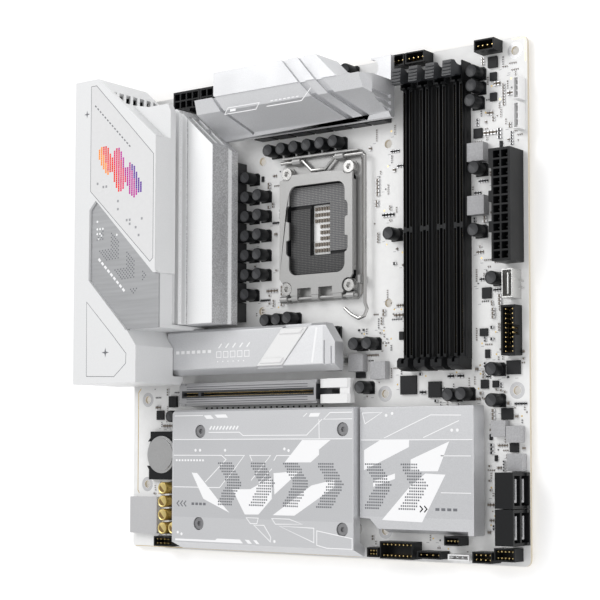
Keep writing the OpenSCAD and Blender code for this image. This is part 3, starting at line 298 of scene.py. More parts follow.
# nodes that aren't named here are black plastic
NODE_LOOKS = {
    "pcb": WHITE_PCB, "cpu_backplate": DARK_STEEL, "socket_contacts": CONTACTS,
    "socket_decouplers": CERAMIC, "ilm_frame": NICKEL, "ilm_load_plate": NICKEL,
    "ilm_lever": BRIGHT_STEEL, "ilm_screws": BRIGHT_STEEL, "pcie_slot": DARK_PLASTIC,
    "slot_contacts": GOLD, "pcie_armor": ARMOR, "pcie_latch": WHITE_PLASTIC,
    "io_shroud": SHROUD_WHITE, "io_light_panel": PANEL_WHITE, "io_light_board": WHITE_PCB,
    "io_brushed_panel": BRUSHED, "io_shield": DARK_STEEL, "rear_usb_ports": PORT_STEEL,
    "rear_video_ports": PORT_STEEL, "rear_lan_port": PORT_STEEL, "antenna_connectors": GOLD,
    "vrm_heatsink_left": PAINTED_SHADE_FINS, "vrm_heatsink_top": TOP_GRAY, "vrm_thermal_pads": THERMAL,
    "power_stages": CHIP_BLACK, "vrm_chokes": DARK_FERRITE, "polymer_capacitors": CAN_BLACK,
    "audio_capacitors": CAN_GOLD, "m2_upper_heatsink": DRIVE_GRAY,
    "m2_release_lever": WHITE_PLASTIC, "m2_lower_heatsink": PLATE_GRAY,
    "chipset_heatsink": PLATE_GRAY, "chipset": CARRIER, "plate_screws": SCREW_STEEL,
    "m2_standoffs": PORT_STEEL, "usb_c_header": PORT_STEEL, "coin_cell": CELL,
    "audio_codec_shield": TIN, "controller_chips": CHIP_BLACK, "filter_chokes": FERRITE,
}
for latch_number in range(1, 5):
    NODE_LOOKS[f"dimm_latch_{latch_number}"] = DARK_PLASTIC
# how far each node's edges are rounded, where it isn't the usual amount
USUAL_EDGE_MM = 0.12
EDGE_MM = {"pcb": 0.1, "io_shroud": 0.45, "vrm_heatsink_left": 0.35, "vrm_heatsink_top": 0.35,
           "m2_upper_heatsink": 0.35, "m2_lower_heatsink": 0.4, "chipset_heatsink": 0.4,
           "ilm_load_plate": 0.3, "ilm_frame": 0.25, "m2_release_lever": 0.3}


def dress(node, look):
    """Gives a CAD node its material, and rounds its edges a little."""
    shape = NODES[node]
    shape.data.materials.clear()
    shape.data.materials.append(look)
    for face in shape.data.polygons:
        face.material_index = 0
        face.use_smooth = True
    weld = shape.modifiers.new("weld", "WELD")
    weld.merge_threshold = 0.002 * MM
    flat = shape.modifiers.new("flat", "DECIMATE")
    flat.decimate_type = "DISSOLVE"
    flat.angle_limit = math.radians(0.5)
    bevel = shape.modifiers.new("edges", "BEVEL")
    bevel.width = EDGE_MM.get(node, USUAL_EDGE_MM) * MM
    bevel.segments = 2
    bevel.limit_method = "ANGLE"
    bevel.angle_limit = math.radians(32)
    normals = shape.modifiers.new("normals", "WEIGHTED_NORMAL")
    normals.mode = "FACE_AREA"
    normals.weight = 100
    normals.thresh = 0.01


for node_name in NODES:
    dress(node_name, NODE_LOOKS.get(node_name, BLACK_PLASTIC))


# ---------------------------------------------------------------- shapes

# thickness and chamfer of a print
SKIN = 0.03
PRINT_EDGE = 0.005
# lines that cross differ this much in height, so that no two of their faces share a plane
CROSSING_STEP = 0.002


class Shape:
    """Points and faces of one piece in board millimetres; each face has a material number."""

    def __init__(self):
        self.points = []
        self.faces = []
        self.marks = []

    def rings(self, rings, marks):
        """Joins rings of equal length; marks are the lower cap, each band and the upper cap."""
        first, count = len(self.points), len(rings[0])
        for ring in rings:
            self.points.extend(ring)
        self.faces.append([first + i for i in reversed(range(count))])
        for level in range(len(rings) - 1):
            low, high = first + level * count, first + (level + 1) * count
            for i in range(count):
                j = (i + 1) % count
                self.faces.append([low + i, low + j, high + j, high + i])
        self.faces.append([first + (len(rings) - 1) * count + i for i in range(count)])
        self.marks.append(marks[0])
        for mark in marks[1:-1]:
            self.marks.extend([mark] * count)
        self.marks.append(marks[-1])

    def plate(self, outline, low, high, mark=0):
        """An outline, anticlockwise from above, raised from low to high."""
        self.rings([[(x, y, z) for x, y in outline] for z in (low, high)], [mark] * 3)

    def block(self, low, high, edge=0.05, mark=0):
        """A box with its upper edges chamfered."""
        rings = []
        for z, inset in ((low[2], 0), (high[2] - edge, 0), (high[2], edge)):
            x0, y0, x1, y1 = low[0] + inset, low[1] + inset, high[0] - inset, high[1] - inset
            rings.append([(x0, y0, z), (x1, y0, z), (x1, y1, z), (x0, y1, z)])
        self.rings(rings, [mark] * 4)

    def lathe(self, centre, profile, marks, sides=28):
        """A profile of (radius, height) turned round an upright axis."""
        turns = [2 * math.pi * i / sides for i in range(sides)]
        rings = [[(centre[0] + r * math.cos(a), centre[1] + r * math.sin(a), z) for a in turns]
                 for r, z in profile]
        self.rings(rings, marks)

    def ring(self, centre, inner, outer, low, high, mark=0, sides=40):
        """A flat washer."""
        first = len(self.points)
        for i in range(sides):
            a = 2 * math.pi * i / sides
            for r, z in ((inner, low), (outer, low), (outer, high), (inner, high)):
                self.points.append((centre[0] + r * math.cos(a), centre[1] + r * math.sin(a), z))
        for i in range(sides):
            here, there = first + 4 * i, first + 4 * ((i + 1) % sides)
            for k in range(4):
                n = (k + 1) % 4
                self.faces.append([here + k, here + n, there + n, there + k][::-1])
                self.marks.append(mark)

    def stroke(self, points, width, low, high, mark=0, closed=False):
        """A line of even width through points, with mitred corners."""
        count = len(points)
        sides = []
        for i in range(count):
            here = Vector(points[i])
            back = here - Vector(points[i - 1]) if i or closed else None
            ahead = Vector(points[(i + 1) % count]) - here if i < count - 1 or closed else None
            back, ahead = back or ahead, ahead or back
            one, two = back.normalized(), ahead.normalized()
            normal = Vector((-one.y - two.y, one.x + two.x)).normalized()
            reach = width / 2 / max(0.5, normal.dot(Vector((-one.y, one.x))))
            sides.append((here - normal * reach, here + normal * reach))
        for i in range(count if closed else count - 1):
            (a, b), (c, d) = sides[i], sides[(i + 1) % count]
            self.plate([a, c, d, b], low, high, mark)


def piece(name, shape, looks, body="board", stands_for=()):
    """Makes a shape into a visible piece that rides on a body."""
    data = bpy.data.meshes.new(name)
    data.from_pydata([at(*point) for point in shape.points], [], shape.faces)
    for look in looks:
        data.materials.append(look)
    data.polygons.foreach_set("material_index", shape.marks)
    data.polygons.foreach_set("use_smooth", [True] * len(shape.marks))
    data.set_sharp_from_angle(angle=math.radians(36))
    made = bpy.data.objects.new(name, data)
    bpy.context.scene.collection.objects.link(made)
    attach(made, body)
    if stands_for:
        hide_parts(*stands_for)
    return made


def islands(node):
    """The box round each separate solid of a CAD node, as (low, high)."""
    mesh = bmesh.new()
    mesh.from_mesh(NODES[node].data)
    mesh.transform(NODES[node].matrix_world)
    bmesh.ops.remove_doubles(mesh, verts=mesh.verts, dist=0.001 * MM)
    mesh.verts.index_update()
    boxes, seen, origin = [], set(), at(0, 0)
    for start in mesh.verts:
        if start.index in seen:
            continue
        seen.add(start.index)
        queue, group = [start], []
        while queue:
            vert = queue.pop()
            group.append((vert.co - origin) / MM)
            for edge in vert.link_edges:
                other = edge.other_vert(vert)
                if other.index not in seen:
                    seen.add(other.index)
                    queue.append(other)
        boxes.append(([min(p[i] for p in group) for i in range(3)],
                      [max(p[i] for p in group) for i in range(3)]))
    mesh.free()
    return boxes


def centres(node):
    """Where a node's separate solids stand, each place once."""
    return sorted({(round((low[0] + high[0]) / 2, 1), round((low[1] + high[1]) / 2, 1))
                   for low, high in islands(node)})


def paint(node, look, chosen):
    """Gives a second material to the faces whose corners all pass a test."""
    shape = NODES[node]
    shape.data.materials.append(look)
    number = len(shape.data.materials) - 1
    origin = at(0, 0)
    corners = [(shape.matrix_world @ v.co - origin) / MM for v in shape.data.vertices]
    for face in shape.data.polygons:
        if chosen([corners[i] for i in face.vertices]):
            face.material_index = number


def pin_places(node):
    """The centres of a node's small square tops, which are the ends of its pins."""
    narrowest, widest, lowest_top = 0.5, 0.75, 2.5
    found, origin = set(), at(0, 0)
    shape = NODES[node]
    for face in shape.data.polygons:
        points = [(shape.matrix_world @ shape.data.vertices[i].co - origin) / MM
                  for i in face.vertices]
        low = [min(p[i] for p in points) for i in range(3)]
        high = [max(p[i] for p in points) for i in range(3)]
        flat = high[2] - low[2] < 0.01 and low[2] > lowest_top
        if flat and all(narrowest < high[i] - low[i] < widest for i in (0, 1)):
            found.add((round((low[0] + high[0]) / 2, 2), round((low[1] + high[1]) / 2, 2)))
    return found


def paint_pins(node, look):
    """Gives the pins of a header their own material."""
    places = pin_places(node)

    def on_a_pin(points):
        return points[0].z > 0 and any(
            all(abs(p.x - x) < 0.42 and abs(p.y - y) < 0.42 for p in points) for x, y in places)
    paint(node, look, on_a_pin)


# ---------------------------------------------------------------- capacitors

def add_cans(name, node, looks):
    """Moulded bases with turned cans: a groove above the base, a rolled rim and a printed top."""
    shape = Shape()
    top = span(node)[1][2]
    half, cut, base_top = 3.15, 0.9, 0.9
    body, groove = 3.12, 2.88
    lid, print_radius = top - 0.12, 2.2
    base = [(-half, -half), (half, -half), (half, half - cut), (half - cut, half),
            (cut - half, half), (-half, half - cut)]
    profile = [(2.75, base_top), (3.05, 1.1), (body, 1.5), (groove, 1.9), (groove, 2.15),
               (body, 2.6), (body, top - 0.45), (3.0, lid), (2.8, top), (2.6, top - 0.05),
               (2.5, lid)]
    for x, y in centres(node):
        shape.plate([(x + dx, y + dy) for dx, dy in base], 0, base_top, 2)
        shape.lathe((x, y), profile, [0] * 9 + [1, 1, 1], sides=32)
        shape.plate([(x + print_radius * math.cos(a / 10), y + print_radius * math.sin(a / 10))
                     for a in range(24, 56, 2)], lid, lid + 0.04, 3)
    piece(name, shape, looks, stands_for=[node])


add_cans("polymer_cans", "polymer_capacitors", [CAN_BLACK, CAN_LID, BLACK_PLASTIC, PRINT_DARK])
add_cans("audio_cans", "audio_capacitors", [CAN_GOLD, GOLD_TOP, BLACK_PLASTIC, PRINT_BROWN])


# ---------------------------------------------------------------- contacts and pins

def add_slot_contacts():
    """Separate springs in the card slot, along X, and in the memory slots, along Y."""
    pitches = (1.0, 0.85)
    spring_share, shortest = 0.55, 0.5
    shape = Shape()
    for low, high in islands("slot_contacts"):
        along = 0 if high[0] - low[0] > high[1] - low[1] else 1
        place = low[along]
        while place + shortest < high[along]:
            start, end = list(low), list(high)
            start[along], end[along] = place, place + pitches[along] * spring_share
            shape.block(start, end, 0.08)
            place += pitches[along]
    piece("slot_springs", shape, [GOLD], stands_for=["slot_contacts"])


def in_painted_shade_contacts(points):
    """The lower half of the contact field, whose springs lean away from the light; its darker
    colour is painted shade.
    """
    return all(p.y < 176.5 and (p.x < 124.5 or p.y < 153.5) for p in points)


def on_drive_port_tongues(points):
    """The tongues of the drive ports, which repeat upwards and along the board's edge."""
    first_y, pitch_y, pitch_z = 9.8, 16.6, 6.8
    return all(236.3 < p.x < 242.5 and 3.3 < p.z % pitch_z < 6
               and 2.7 < (p.y - first_y) % pitch_y < 13.5 for p in points)


def on_white_headers(points):
    """The shells of the low headers at the right and lower edges, without their solder tails."""
    return all(-0.1 < p.z < 6.45 and (p.x > 239.4 or 203.9 < p.x < 215.5) for p in points)


add_slot_contacts()
# painted shade on the half of the contact field that leans away from the light
paint("socket_contacts", PAINTED_SHADE_CONTACTS, in_painted_shade_contacts)
paint("sata_ports", FERRITE, on_drive_port_tongues)
for header in ("fan_headers", "front_panel_headers", "usb3_header"):
    paint_pins(header, GOLD)
paint("front_panel_headers", WHITE_PLASTIC, on_white_headers)


def paint_inside(node, look, rim=0.35):
    """Darkens the faces that lie inside each solid's shell, behind its open front."""
    front = 0.3
    boxes = islands(node)

    def inside(points):
        return any(all(p.x > low[0] + front and low[1] + rim < p.y < high[1] - rim
                       and low[2] + rim < p.z < high[2] - rim for p in points)
                   for low, high in boxes)
    paint(node, look, inside)


for port in ("rear_usb_ports", "rear_video_ports", "rear_lan_port"):
    paint_inside(port, BLACK_PLASTIC)

# ---------------------------------------------------------------- small parts on the board

# these lie under the others or inside them, so they take up no room of their own
COVERED_NODES = ("pcb", "cpu_backplate", "socket_contacts", "slot_contacts", "vrm_thermal_pads")
TAKEN = [box for name in NODES if name not in COVERED_NODES for box in islands(name)]
# the case's screw holes, and the half width kept free round each
HOLES = [(10.16, 80.01), (10.16, 34.29), (33.02, 237.49), (165.1, 237.49),
         (165.1, 80.01), (165.1, 13.97), (237.49, 237.49), (237.49, 80.01)]
HOLE_ROOM = 4.4
TAKEN += [([x - HOLE_ROOM, y - HOLE_ROOM], [x + HOLE_ROOM, y + HOLE_ROOM]) for x, y in HOLES]


def is_free(low, high, gap=0.35):
    """Whether a box keeps clear of the board's edge and of everything placed so far."""
    margin = 0.8
    edge = BOARD_MM - margin
    if min(low[0], low[1]) < margin or high[0] > edge or high[1] > edge:
        return False
    return all(high[0] + gap < box[0][0] or low[0] - gap > box[1][0]
               or high[1] + gap < box[0][1] or low[1] - gap > box[1][1] for box in TAKEN)


def add_chip_part(shape, centre, size, along, kind):
    """A two-ended part: a body of the given kind between two plated ends."""
    end_share, wider, taller, edge = 0.22, 0.02, 0.03, 0.06
    length, width, height = size
    half = [length / 2, width / 2] if along == 0 else [width / 2, length / 2]
    low = [centre[0] - half[0], centre[1] - half[1], 0.02]
    high = [centre[0] + half[0], centre[1] + half[1], height]
    if not is_free(low, high):
        return
    TAKEN.append((low, high))
    shape.block(low, high, edge, 0)
    inner_low, inner_high = list(low), list(high)
    inner_low[along] += length * end_share
    inner_high[along] -= length * end_share
    inner_low[1 - along] -= wider
    inner_high[1 - along] += wider
    inner_high[2] += taller
    shape.block(inner_low, inner_high, edge, kind)


def add_small_chip(shape, pads, low, size):
    """A flat package with feet on both sides."""
    height, room, foot_pitch, foot_length, foot_half = 0.9, 0.8, 0.95, 0.6, 0.18
    high = [low[0] + size[0], low[1] + size[1], height]
    room_low, room_high = [low[0] - room, low[1]], [high[0] + room, high[1]]
    if not is_free(room_low, room_high):
        return
    TAKEN.append((room_low, room_high))
    shape.block([low[0], low[1], 0.1], high, 0.12, 2)
    count = max(2, int(size[1] / foot_pitch))
    for i in range(count):
        y = low[1] + size[1] * (i + 0.5) / count
        for x in (low[0] - foot_length, high[0]):
            pads.block([x, y - foot_half, 0.02], [x + foot_length, y + foot_half, 0.3], 0.05)


def add_dash(shape, low):
    """A short printed dash beside a group of parts, where there is room for it."""
    length, width = 1.6, 0.22
    if is_free(low, [low[0] + length, low[1] + 0.5]):
        shape.block([*low, 0], [low[0] + length, low[1] + width, SKIN], PRINT_EDGE)


def add_test_pad(shape, spot):
    """A round gold pad, where there is room for it."""
    radius, room = 0.45, 0.5
    low, high = [c - room for c in spot], [c + room for c in spot]
    if is_free(low, high):
        TAKEN.append((low, high))
        shape.lathe(spot, [(radius, 0), (radius, SKIN)], [0] * 3, sides=14)


# the busy areas of the board: corner, opposite corner and how many groups of parts
CLUSTERS = [((214.5, 62), (232, 234), 130), ((226, 60), (242.5, 98), 60),
            ((229, 190), (239, 236), 30), ((12, 62), (39, 89), 26), ((12, 28), (24, 37), 8),
            ((84, 119), (104, 204), 30), ((104, 102), (150, 127), 26),
            ((147, 74), (178, 120), 60), ((152, 118), (178, 210), 34),
            ((166, 212), (180, 238), 14), ((180, 62), (232, 90), 60), ((20, 3), (240, 13), 70),
            ((221, 14), (234, 60), 46), ((56, 118), (84, 214), 10), ((39, 88), (44, 90), 3)]
# length, width and height of the common two-ended parts
SIZES = [(1.0, 0.5, 0.45), (1.6, 0.8, 0.75), (1.0, 0.5, 0.35), (2.0, 1.25, 1.1)]
CHIP_SIZES = [(1.4, 2.8), (3, 3), (2.4, 4)]


def add_small_parts():
    """Groups of resistors, capacitors and small chips, with dashes and test pads beside some."""
    chips_below, dashes_above, pads_above = 0.10, 0.45, 0.72
    spacing, reach = 0.55, 3
    dice = random.Random(41)
    parts, feet, pads, marks = Shape(), Shape(), Shape(), Shape()
    for corner, opposite, groups in CLUSTERS:
        for _ in range(groups):
            x = dice.uniform(corner[0], opposite[0])
            y = dice.uniform(corner[1], opposite[1])
            choice = dice.random()
            if choice < chips_below:
                add_small_chip(parts, feet, [x, y], dice.choice(CHIP_SIZES))
                continue
            along = dice.randrange(2)
            size = dice.choice(SIZES)
            kind = dice.choice([1, 1, 1, 2])
            for i in range(dice.randint(1, 6)):
                step = i * (size[1] + spacing)
                centre = (x, y + step) if along == 0 else (x + step, y)
                add_chip_part(parts, centre, size, along, kind)
            if choice > dashes_above:
                add_dash(marks, (x - 2.4, y - 1.3))
            if choice > pads_above:
                add_test_pad(pads, (x + dice.uniform(-reach, reach),
                                    y + dice.uniform(-reach, reach)))
    piece("small_parts", parts, [TERMINAL, CERAMIC, CHIP_BLACK])
    piece("package_feet", feet, [TERMINAL])
    piece("test_pads", pads, [GOLD])
    piece("board_dashes", marks, [PRINT_GRAY])


add_small_parts()


def add_board_marks():
    """Plated rings with solder dots round the holes, and plated lines near the edges."""
    inner, outer, dot_circle, dots = 2.2, 3.9, 3.15, 8
    rings, lines = Shape(), Shape()
    for hole in HOLES:
        rings.ring(hole, inner, outer, 0, SKIN)
        rings.ring(hole, inner, outer, -PCB_MM - SKIN, -PCB_MM)
        for i in range(dots):
            a = 2 * math.pi * i / dots
            spot = (hole[0] + dot_circle * math.cos(a), hole[1] + dot_circle * math.sin(a))
            rings.lathe(spot, [(0.35, SKIN), (0.3, 0.08)], [0] * 3, sides=12)
    lines.stroke([(4.2, 29.5), (3.2, 31), (3.2, 84), (5, 86.2)], 0.45, 0, SKIN)
    lines.stroke([(236, 243), (242.9, 243), (242.9, 232)], 0.35, 0, SKIN)
    lines.stroke([(2, 0.9), (150, 0.9)], 0.3, 0, SKIN)
    for x in (105.5, 152.6):
        lines.stroke([(x, 128), (x, 200)], 0.2, 0, SKIN)
    piece("plated_rings", rings, [TIN])
    piece("plated_lines", lines, [GOLD])


add_board_marks()

# ---------------------------------------------------------------- prints on the cooling plates, and painted groove shade on the slot's armor

def chevrons(shape, low, high, z, count, stroke):
    """A row of arrowheads built from small square dots; stroke is how wide each arm is."""
    pitch, dot, lean = (1.2, 1.4), 0.8, 0.62
    step = (high[0] - low[0]) / count
    middle, half = (low[1] + high[1]) / 2, (high[1] - low[1]) / 2
    rows = int((high[1] - low[1]) / pitch[1])
    for row in range(rows + 1):
        y = low[1] + row * pitch[1]
        shift = lean * (half - abs(y - middle))
        for column in range(int((high[0] - low[0]) / pitch[0]) + 1):
            x = low[0] + column * pitch[0]
            if x - low[0] > shift and (x - low[0] - shift) % step < stroke:
                shape.block([x - dot / 2, y - dot / 2, z - SKIN],
                            [x + dot / 2, y + dot / 2, z + SKIN], PRINT_EDGE)


def round_spots(shape, spots, z, radius=0.75, sides=16):
    """Flat round prints."""
    for spot in spots:
        shape.lathe(spot, [(radius, z), (radius, z + SKIN)], [0] * 3, sides=sides)


def dash_row(shape, start, pitch, dash, count, width, z):
    """A row of dashes along X; dash is how far each one runs along X and Y."""
    for i in range(count):
        x = start[0] + i * pitch
        shape.stroke([(x, start[1]), (x + dash[0], start[1] + dash[1])], width, z, z + SKIN)


def arrow_row(shape, start, count, ahead, z):
    """A row of small open arrowheads that point along X; ahead is 1 or -1."""
    pitch, arm = 2.4, 1.5
    for i in range(count):
        x = start[0] + i * pitch
        shape.stroke([(x, start[1] - arm), (x + ahead * arm, start[1]), (x, start[1] + arm)],
                     0.6, z, z + SKIN)


# width of the traces printed on the plates
PLATE_LINE = 0.42


def draw_drive_plate(white, band, dots):
    """The wide plate: a darker band, slanted white bars, thin traces and a row of arrowheads."""
    low, high = span("m2_lower_heatsink")
    x0, x1, z = low[0] + 1, high[0], high[2]
    top = z + SKIN
    band.plate([(x0, 18), (x1 - 0.6, 18), (x1 - 0.6, 58), (x0, 58)], z - SKIN, z + 0.01)
    bars = ([(53, 41), (61, 27.6), (78.5, 20.8), (71, 27.2), (56.7, 40.8)],
            [(80.3, 32.8), (88.5, 20.2), (97.3, 20.4), (105.8, 28.4), (105.5, 39), (92, 33)],
            [(106.8, 41.2), (107.4, 30.5), (123.3, 42.4)],
            [(113.8, 46.6), (129.8, 46.7), (134.9, 50.4), (134.9, 53), (141.9, 57.7),
             (124.6, 57.7)],
            [(106.4, 20.3), (119.9, 20.4), (144.2, 34.8), (144.2, 38.4), (130.3, 35.4)])
    edge_marks = ([(60.9, 70.6), (62.9, 68.8), (67.8, 68.8), (65.5, 70.8)],
                  [(68.1, 70.9), (70.1, 69.3), (77.2, 69.3), (75.7, 71)],
                  [(128.5, 69.1), (134.4, 69.1), (135.6, 70.9), (129.7, 70.9)],
                  [(41.9, 5.6), (87.4, 5.6), (85.4, 7.5), (70.2, 7.5), (69.2, 6.6),
                   (41.9, 6.6)],
                  [(90.6, 5.6), (93.2, 5.6), (91.2, 7.5), (88.6, 7.5)],
                  [(96, 5.6), (98, 5.6), (96, 7.5), (94, 7.5)])
    for outline in bars + edge_marks:
        white.plate(outline, z, top)
    lines = ([(41, 70.6), (60.4, 70.6)],
             [(125.3, 69.2), (127.6, 70.9)],
             [(x0, 58.2), (x1 - 0.8, 58.2)],
             [(64.4, 61.8), (84.7, 61.8), (87.2, 60.1), (127.3, 60.1), (136.7, 67.8)],
             [(154.6, 71), (141.5, 71), (137.6, 67.8), (154.6, 67.8)],
             [(134.8, 67.8), (135, 58.4)],
             [(x0, 50), (73, 50), (76.1, 47.9), (62.2, 36.2)],
             [(x0, 33.5), (71.9, 33.5), (75.5, 37.2)],
             [(75.1, 50), (88.1, 50), (76.5, 37.6)],
             [(93.1, 47.2), (91.6, 50), (104.9, 50), (92.5, 37.4)],
             [(107, 47.4), (108.7, 50), (118, 50)],
             [(105.8, 43.4), (97.5, 36.2)])
    for number, line in enumerate(lines, 1):
        white.stroke(line, PLATE_LINE, z, top + number * CROSSING_STEP)
    for loop in ([(110.5, 15), (131.8, 14.6), (131.8, 7.6)],
                 [(133.6, 13.4), (154.6, 10.3), (154.6, 5.2), (139.6, 5.2), (133.6, 6.4)],
                 [(89.4, 18.6), (97.2, 18.6), (96.3, 15.8), (92.2, 15.7)],
                 [(94.4, 15), (100.8, 15.1), (105.1, 9.4), (104.9, 7)],
                 [(105.7, 18.6), (116.7, 18.6), (124.8, 16.3), (108.1, 15.9)]):
        white.stroke(loop, PLATE_LINE, z, top, closed=True)
    round_spots(white, ((55.5, 52.6), (58.6, 52.6), (75.4, 52.6), (113.6, 53.3), (116.2, 52.5),
                        (43.6, 9.9), (46.2, 9.1), (107.5, 7.3)), z)
    dash_row(white, (42, 47.4), 2, (1.2, 0), 10, 1.0, z)
    dash_row(white, (65, 63.2), 2.2, (1.4, 1.8), 9, 0.9, z)
    chevrons(dots, (70, 25), (154.4, 47), top, count=4, stroke=9.6)
    arrow_row(dots, (44.5, 24.9), 3, -1, z)
    dash_row(dots, (53, 24.9), 2.6, (1.8, 0), 4, 1.3, z)


def draw_chipset_plate(white, band, dots):
    """The narrow plate, whose prints carry on from those of the wide one."""
    low, high = span("chipset_heatsink")
    x0, x1, z = low[0] + 0.8, high[0] - 2.6, high[2]
    top = z + SKIN
    band.plate([(x0, 21), (x1, 21), (x1, 57.4), (x0, 57.4)], z - SKIN, z + 0.01)
    for outline in ([(158.8, 43.1), (164.1, 45.3), (184.5, 54.2), (184.6, 57.4), (167.9, 57.4),
                     (158.8, 52.7)],
                    [(185.4, 42.8), (200.4, 42.9), (206.6, 56.8), (185.4, 48.3)],
                    [(169.1, 19.5), (191.7, 19), (204.5, 41.4), (193.6, 41.8), (185.4, 36)],
                    [(164.1, 35.2), (176.6, 39.1), (176.6, 41.7), (164.1, 37.9)]):
        white.plate(outline, z, top)
    for line in ([(170.4, 58.5), (185.2, 64.6), (196.6, 69.2), (213, 68.9)],
                 [(192.4, 58.6), (211.9, 66.4)],
                 [(x0, 57.6), (x1, 57.6)]):
        white.stroke(line, 0.4, z, top)
    for y in (50.1, 33):
        white.stroke([(202, y), (218.2, y)], 0.35, z, top)
    white.stroke([(157.8, 70.6), (169.2, 70.8), (159.4, 65.4)], PLATE_LINE, z, top, closed=True)
    round_spots(white, ((171.6, 69.3), (175, 70.2), (208, 62), (211, 62)), z)
    chevrons(dots, (158.6, 25), (199, 47), top, count=2, stroke=9.2)
    dash_row(dots, (199, 25.2), 3.2, (2.2, 0), 4, 1.3, z)
    arrow_row(dots, (190.5, 25.2), 2, 1, z)


def add_plate_prints():
    """The prints that run across both lower plates."""
    white, band, dots = Shape(), Shape(), Shape()
    draw_drive_plate(white, band, dots)
    draw_chipset_plate(white, band, dots)
    piece("plate_bands", band, [PLATE_BAND])
    piece("plate_lines", white, [PRINT_WHITE])
    piece("plate_dots", dots, [PRINT_STEEL])


def add_slot_marks():
    """Dark strips along the slot's armor, painted shade that stands for long grooves, and its dark
    solder dots on the board.
    """
    inset, first_dot, dot_pitch, dot_count = 5, 9, 3.6, 22
    groove_shade, dots = Shape(), Shape()
    low, high = span("pcie_armor")
    middle, top = (low[1] + high[1]) / 2, high[2]
    # painted shade: flat dark strips stand for the grooves
    for reach in (-3.9, -2.6, 2.6, 3.9):
        groove_shade.stroke([(low[0] + inset, middle + reach), (high[0] - inset, middle + reach)],
                       0.35, top - SKIN, top + SKIN)
    for i in range(dot_count):
        x = low[0] + first_dot + i * dot_pitch
        dots.block([x, low[1] - 1.5, 0], [x + 1.1, low[1] - 0.6, 0.05], 0.02)
    piece("armor_groove_shade", groove_shade, [DARK_STEEL])
    piece("slot_dots", dots, [CHIP_BLACK])


def add_drive_bar_prints():
    """Marks on the upper drive bar, and the brighter skin beyond its lever."""
    marks, skin = Shape(), Shape()
    low, high = span("m2_upper_heatsink")
    x0, z = low[0], high[2]
    top = z + SKIN
    skin.plate([(115.8, 95), (139.9, 95), (139.9, 113.2), (131.6, 113.2)], z - SKIN, z + 0.01)
    dash_row(marks, (x0 + 6, 103.4), 3.6, (2.2, 0), 7, 1.6, z)
    dash_row(marks, (x0 + 34.9, 104.8), 4.6, (2, 2.2), 5, 0.7, z)
    for i in range(5):
        x = x0 + 33.5 + i * 4.6
        marks.stroke([(x, 100), (x + 3, 100), (x + 3, 103), (x, 103)], 0.35, z, top,
                     closed=True)
    for i in range(6):
        x = x0 + 34 + i * 3.4
        marks.block([x, 97.6, z], [x + 0.6, 98.2, top], PRINT_EDGE)
    marks.stroke([(133.5, 95.6), (136.2, 112.6)], 1.1, z, top)
    piece("drive_bar_marks", marks, [PRINT_WHITE])
    piece("drive_bar_skin", skin, [BLASTED])


def add_top_heatsink_prints():
    """A bent line, a slanted frame and a row of dashes on the top heatsink."""
    marks = Shape()
    z = span("vrm_heatsink_top")[1][2]
    top = z + SKIN
    marks.stroke([(118.6, 221), (140, 221), (145.5, 226.5)], 0.45, z, top)
    marks.stroke([(92, 220.5), (112, 220.5), (114, 223.5), (94, 223.5)], 0.4, z, top,
                 closed=True)
    marks.stroke([(95.4, 222), (99, 222)], 1.2, z, top)
    dash_row(marks, (121, 223.4), 2.6, (1.6, 0), 7, 0.5, z)
    piece("top_heatsink_marks", marks, [PRINT_WHITE])


# ---------------------------------------------------------------- prints and painted shade on the shroud

def plus_mark(x, y, size):
    """The outline of a plus with narrow, pointed arms."""
    waist = 0.28
    return [(x + size * (1 if i % 2 == 0 else waist) * math.cos(math.pi * i / 4),
             y + size * (1 if i % 2 == 0 else waist) * math.sin(math.pi * i / 4))
            for i in range(8)]


def draw_shroud_prints_and_edge_shade(shape, z, top):
    """Dark outlines round the two panels, which are painted shade along their recessed edges, a
    slanted row of dashes and two plus marks.
    """
    (x0, y0, _), (x1, y1, _) = span("io_light_panel")
    # painted shade: dark outlines along the recessed edges of the two panels
    shape.stroke([(x0, y0 + 40), (x1 - 2, y0), (x1, y0 + 1.8), (x1, y1 - 40.6),
                  (x0 + 3.8, y1), (x0, y1)], 0.3, z, top, closed=True)
    shape.stroke([(8.2, 130), (8.5, 91), (28.2, 90.3), (36.4, 96.9), (36.6, 102),
                  (27.2, 111.6)], 0.3, z, top, closed=True)
    for i in range(15):
        x, y = 13 + i * 1.75, 233.4 - i * 1.7
        shape.stroke([(x, y), (x + 0.95, y - 0.92)], 0.7, z, top)
    for x, y, size in ((7.2, 229.5, 2.1), (22, 103, 2.6)):
        shape.plate(plus_mark(x, y, size), z, top)


def draw_spectrum(tones, z, top):
    """A wave of dotted columns whose colour runs along the spectrum, with a shape for each tone."""
    columns, pitch, fall, row_pitch = 20, 1.55, 1.05, 1.1
    for column in range(columns):
        x = 16 + column * pitch
        middle = 206.5 - column * fall
        fade = math.sin(math.pi * (column + 1) / (columns + 1))
        reach = int(2 + 9 * abs(math.sin(column * 0.47 + 0.5)) * fade)
        for row in range(-reach, reach + 1):
            y = middle + row * row_pitch
            tone = int(len(tones) * (column + row * 0.3 + 2) / (columns + 3))
            tone = max(0, min(len(tones) - 1, tone))
            tones[tone].block([x, y, z], [x + 1.1, y + 1.02, top], PRINT_EDGE)


def draw_squares(shape, z, top):
    """Scattered squares on a grid, clear of the spectrum and of the row of dashes."""
    dice = random.Random(12)
    tries, grid, size = 80, 2.1, 1.25
    for _ in range(tries):
        x, y = dice.uniform(13, 51), dice.uniform(160, 226)
        x, y = round(x / grid) * grid, round(y / grid) * grid
        near = abs(y - (206 - (x - 16) * 0.68)) < 13.5
        clear = 204 < x + y < 250 and abs(x * 0.97 + y - 246) > 3.5
        if clear and not near and dice.random() < 0.75:
            shape.block([x, y, z], [x + size, y + size, top], PRINT_EDGE)


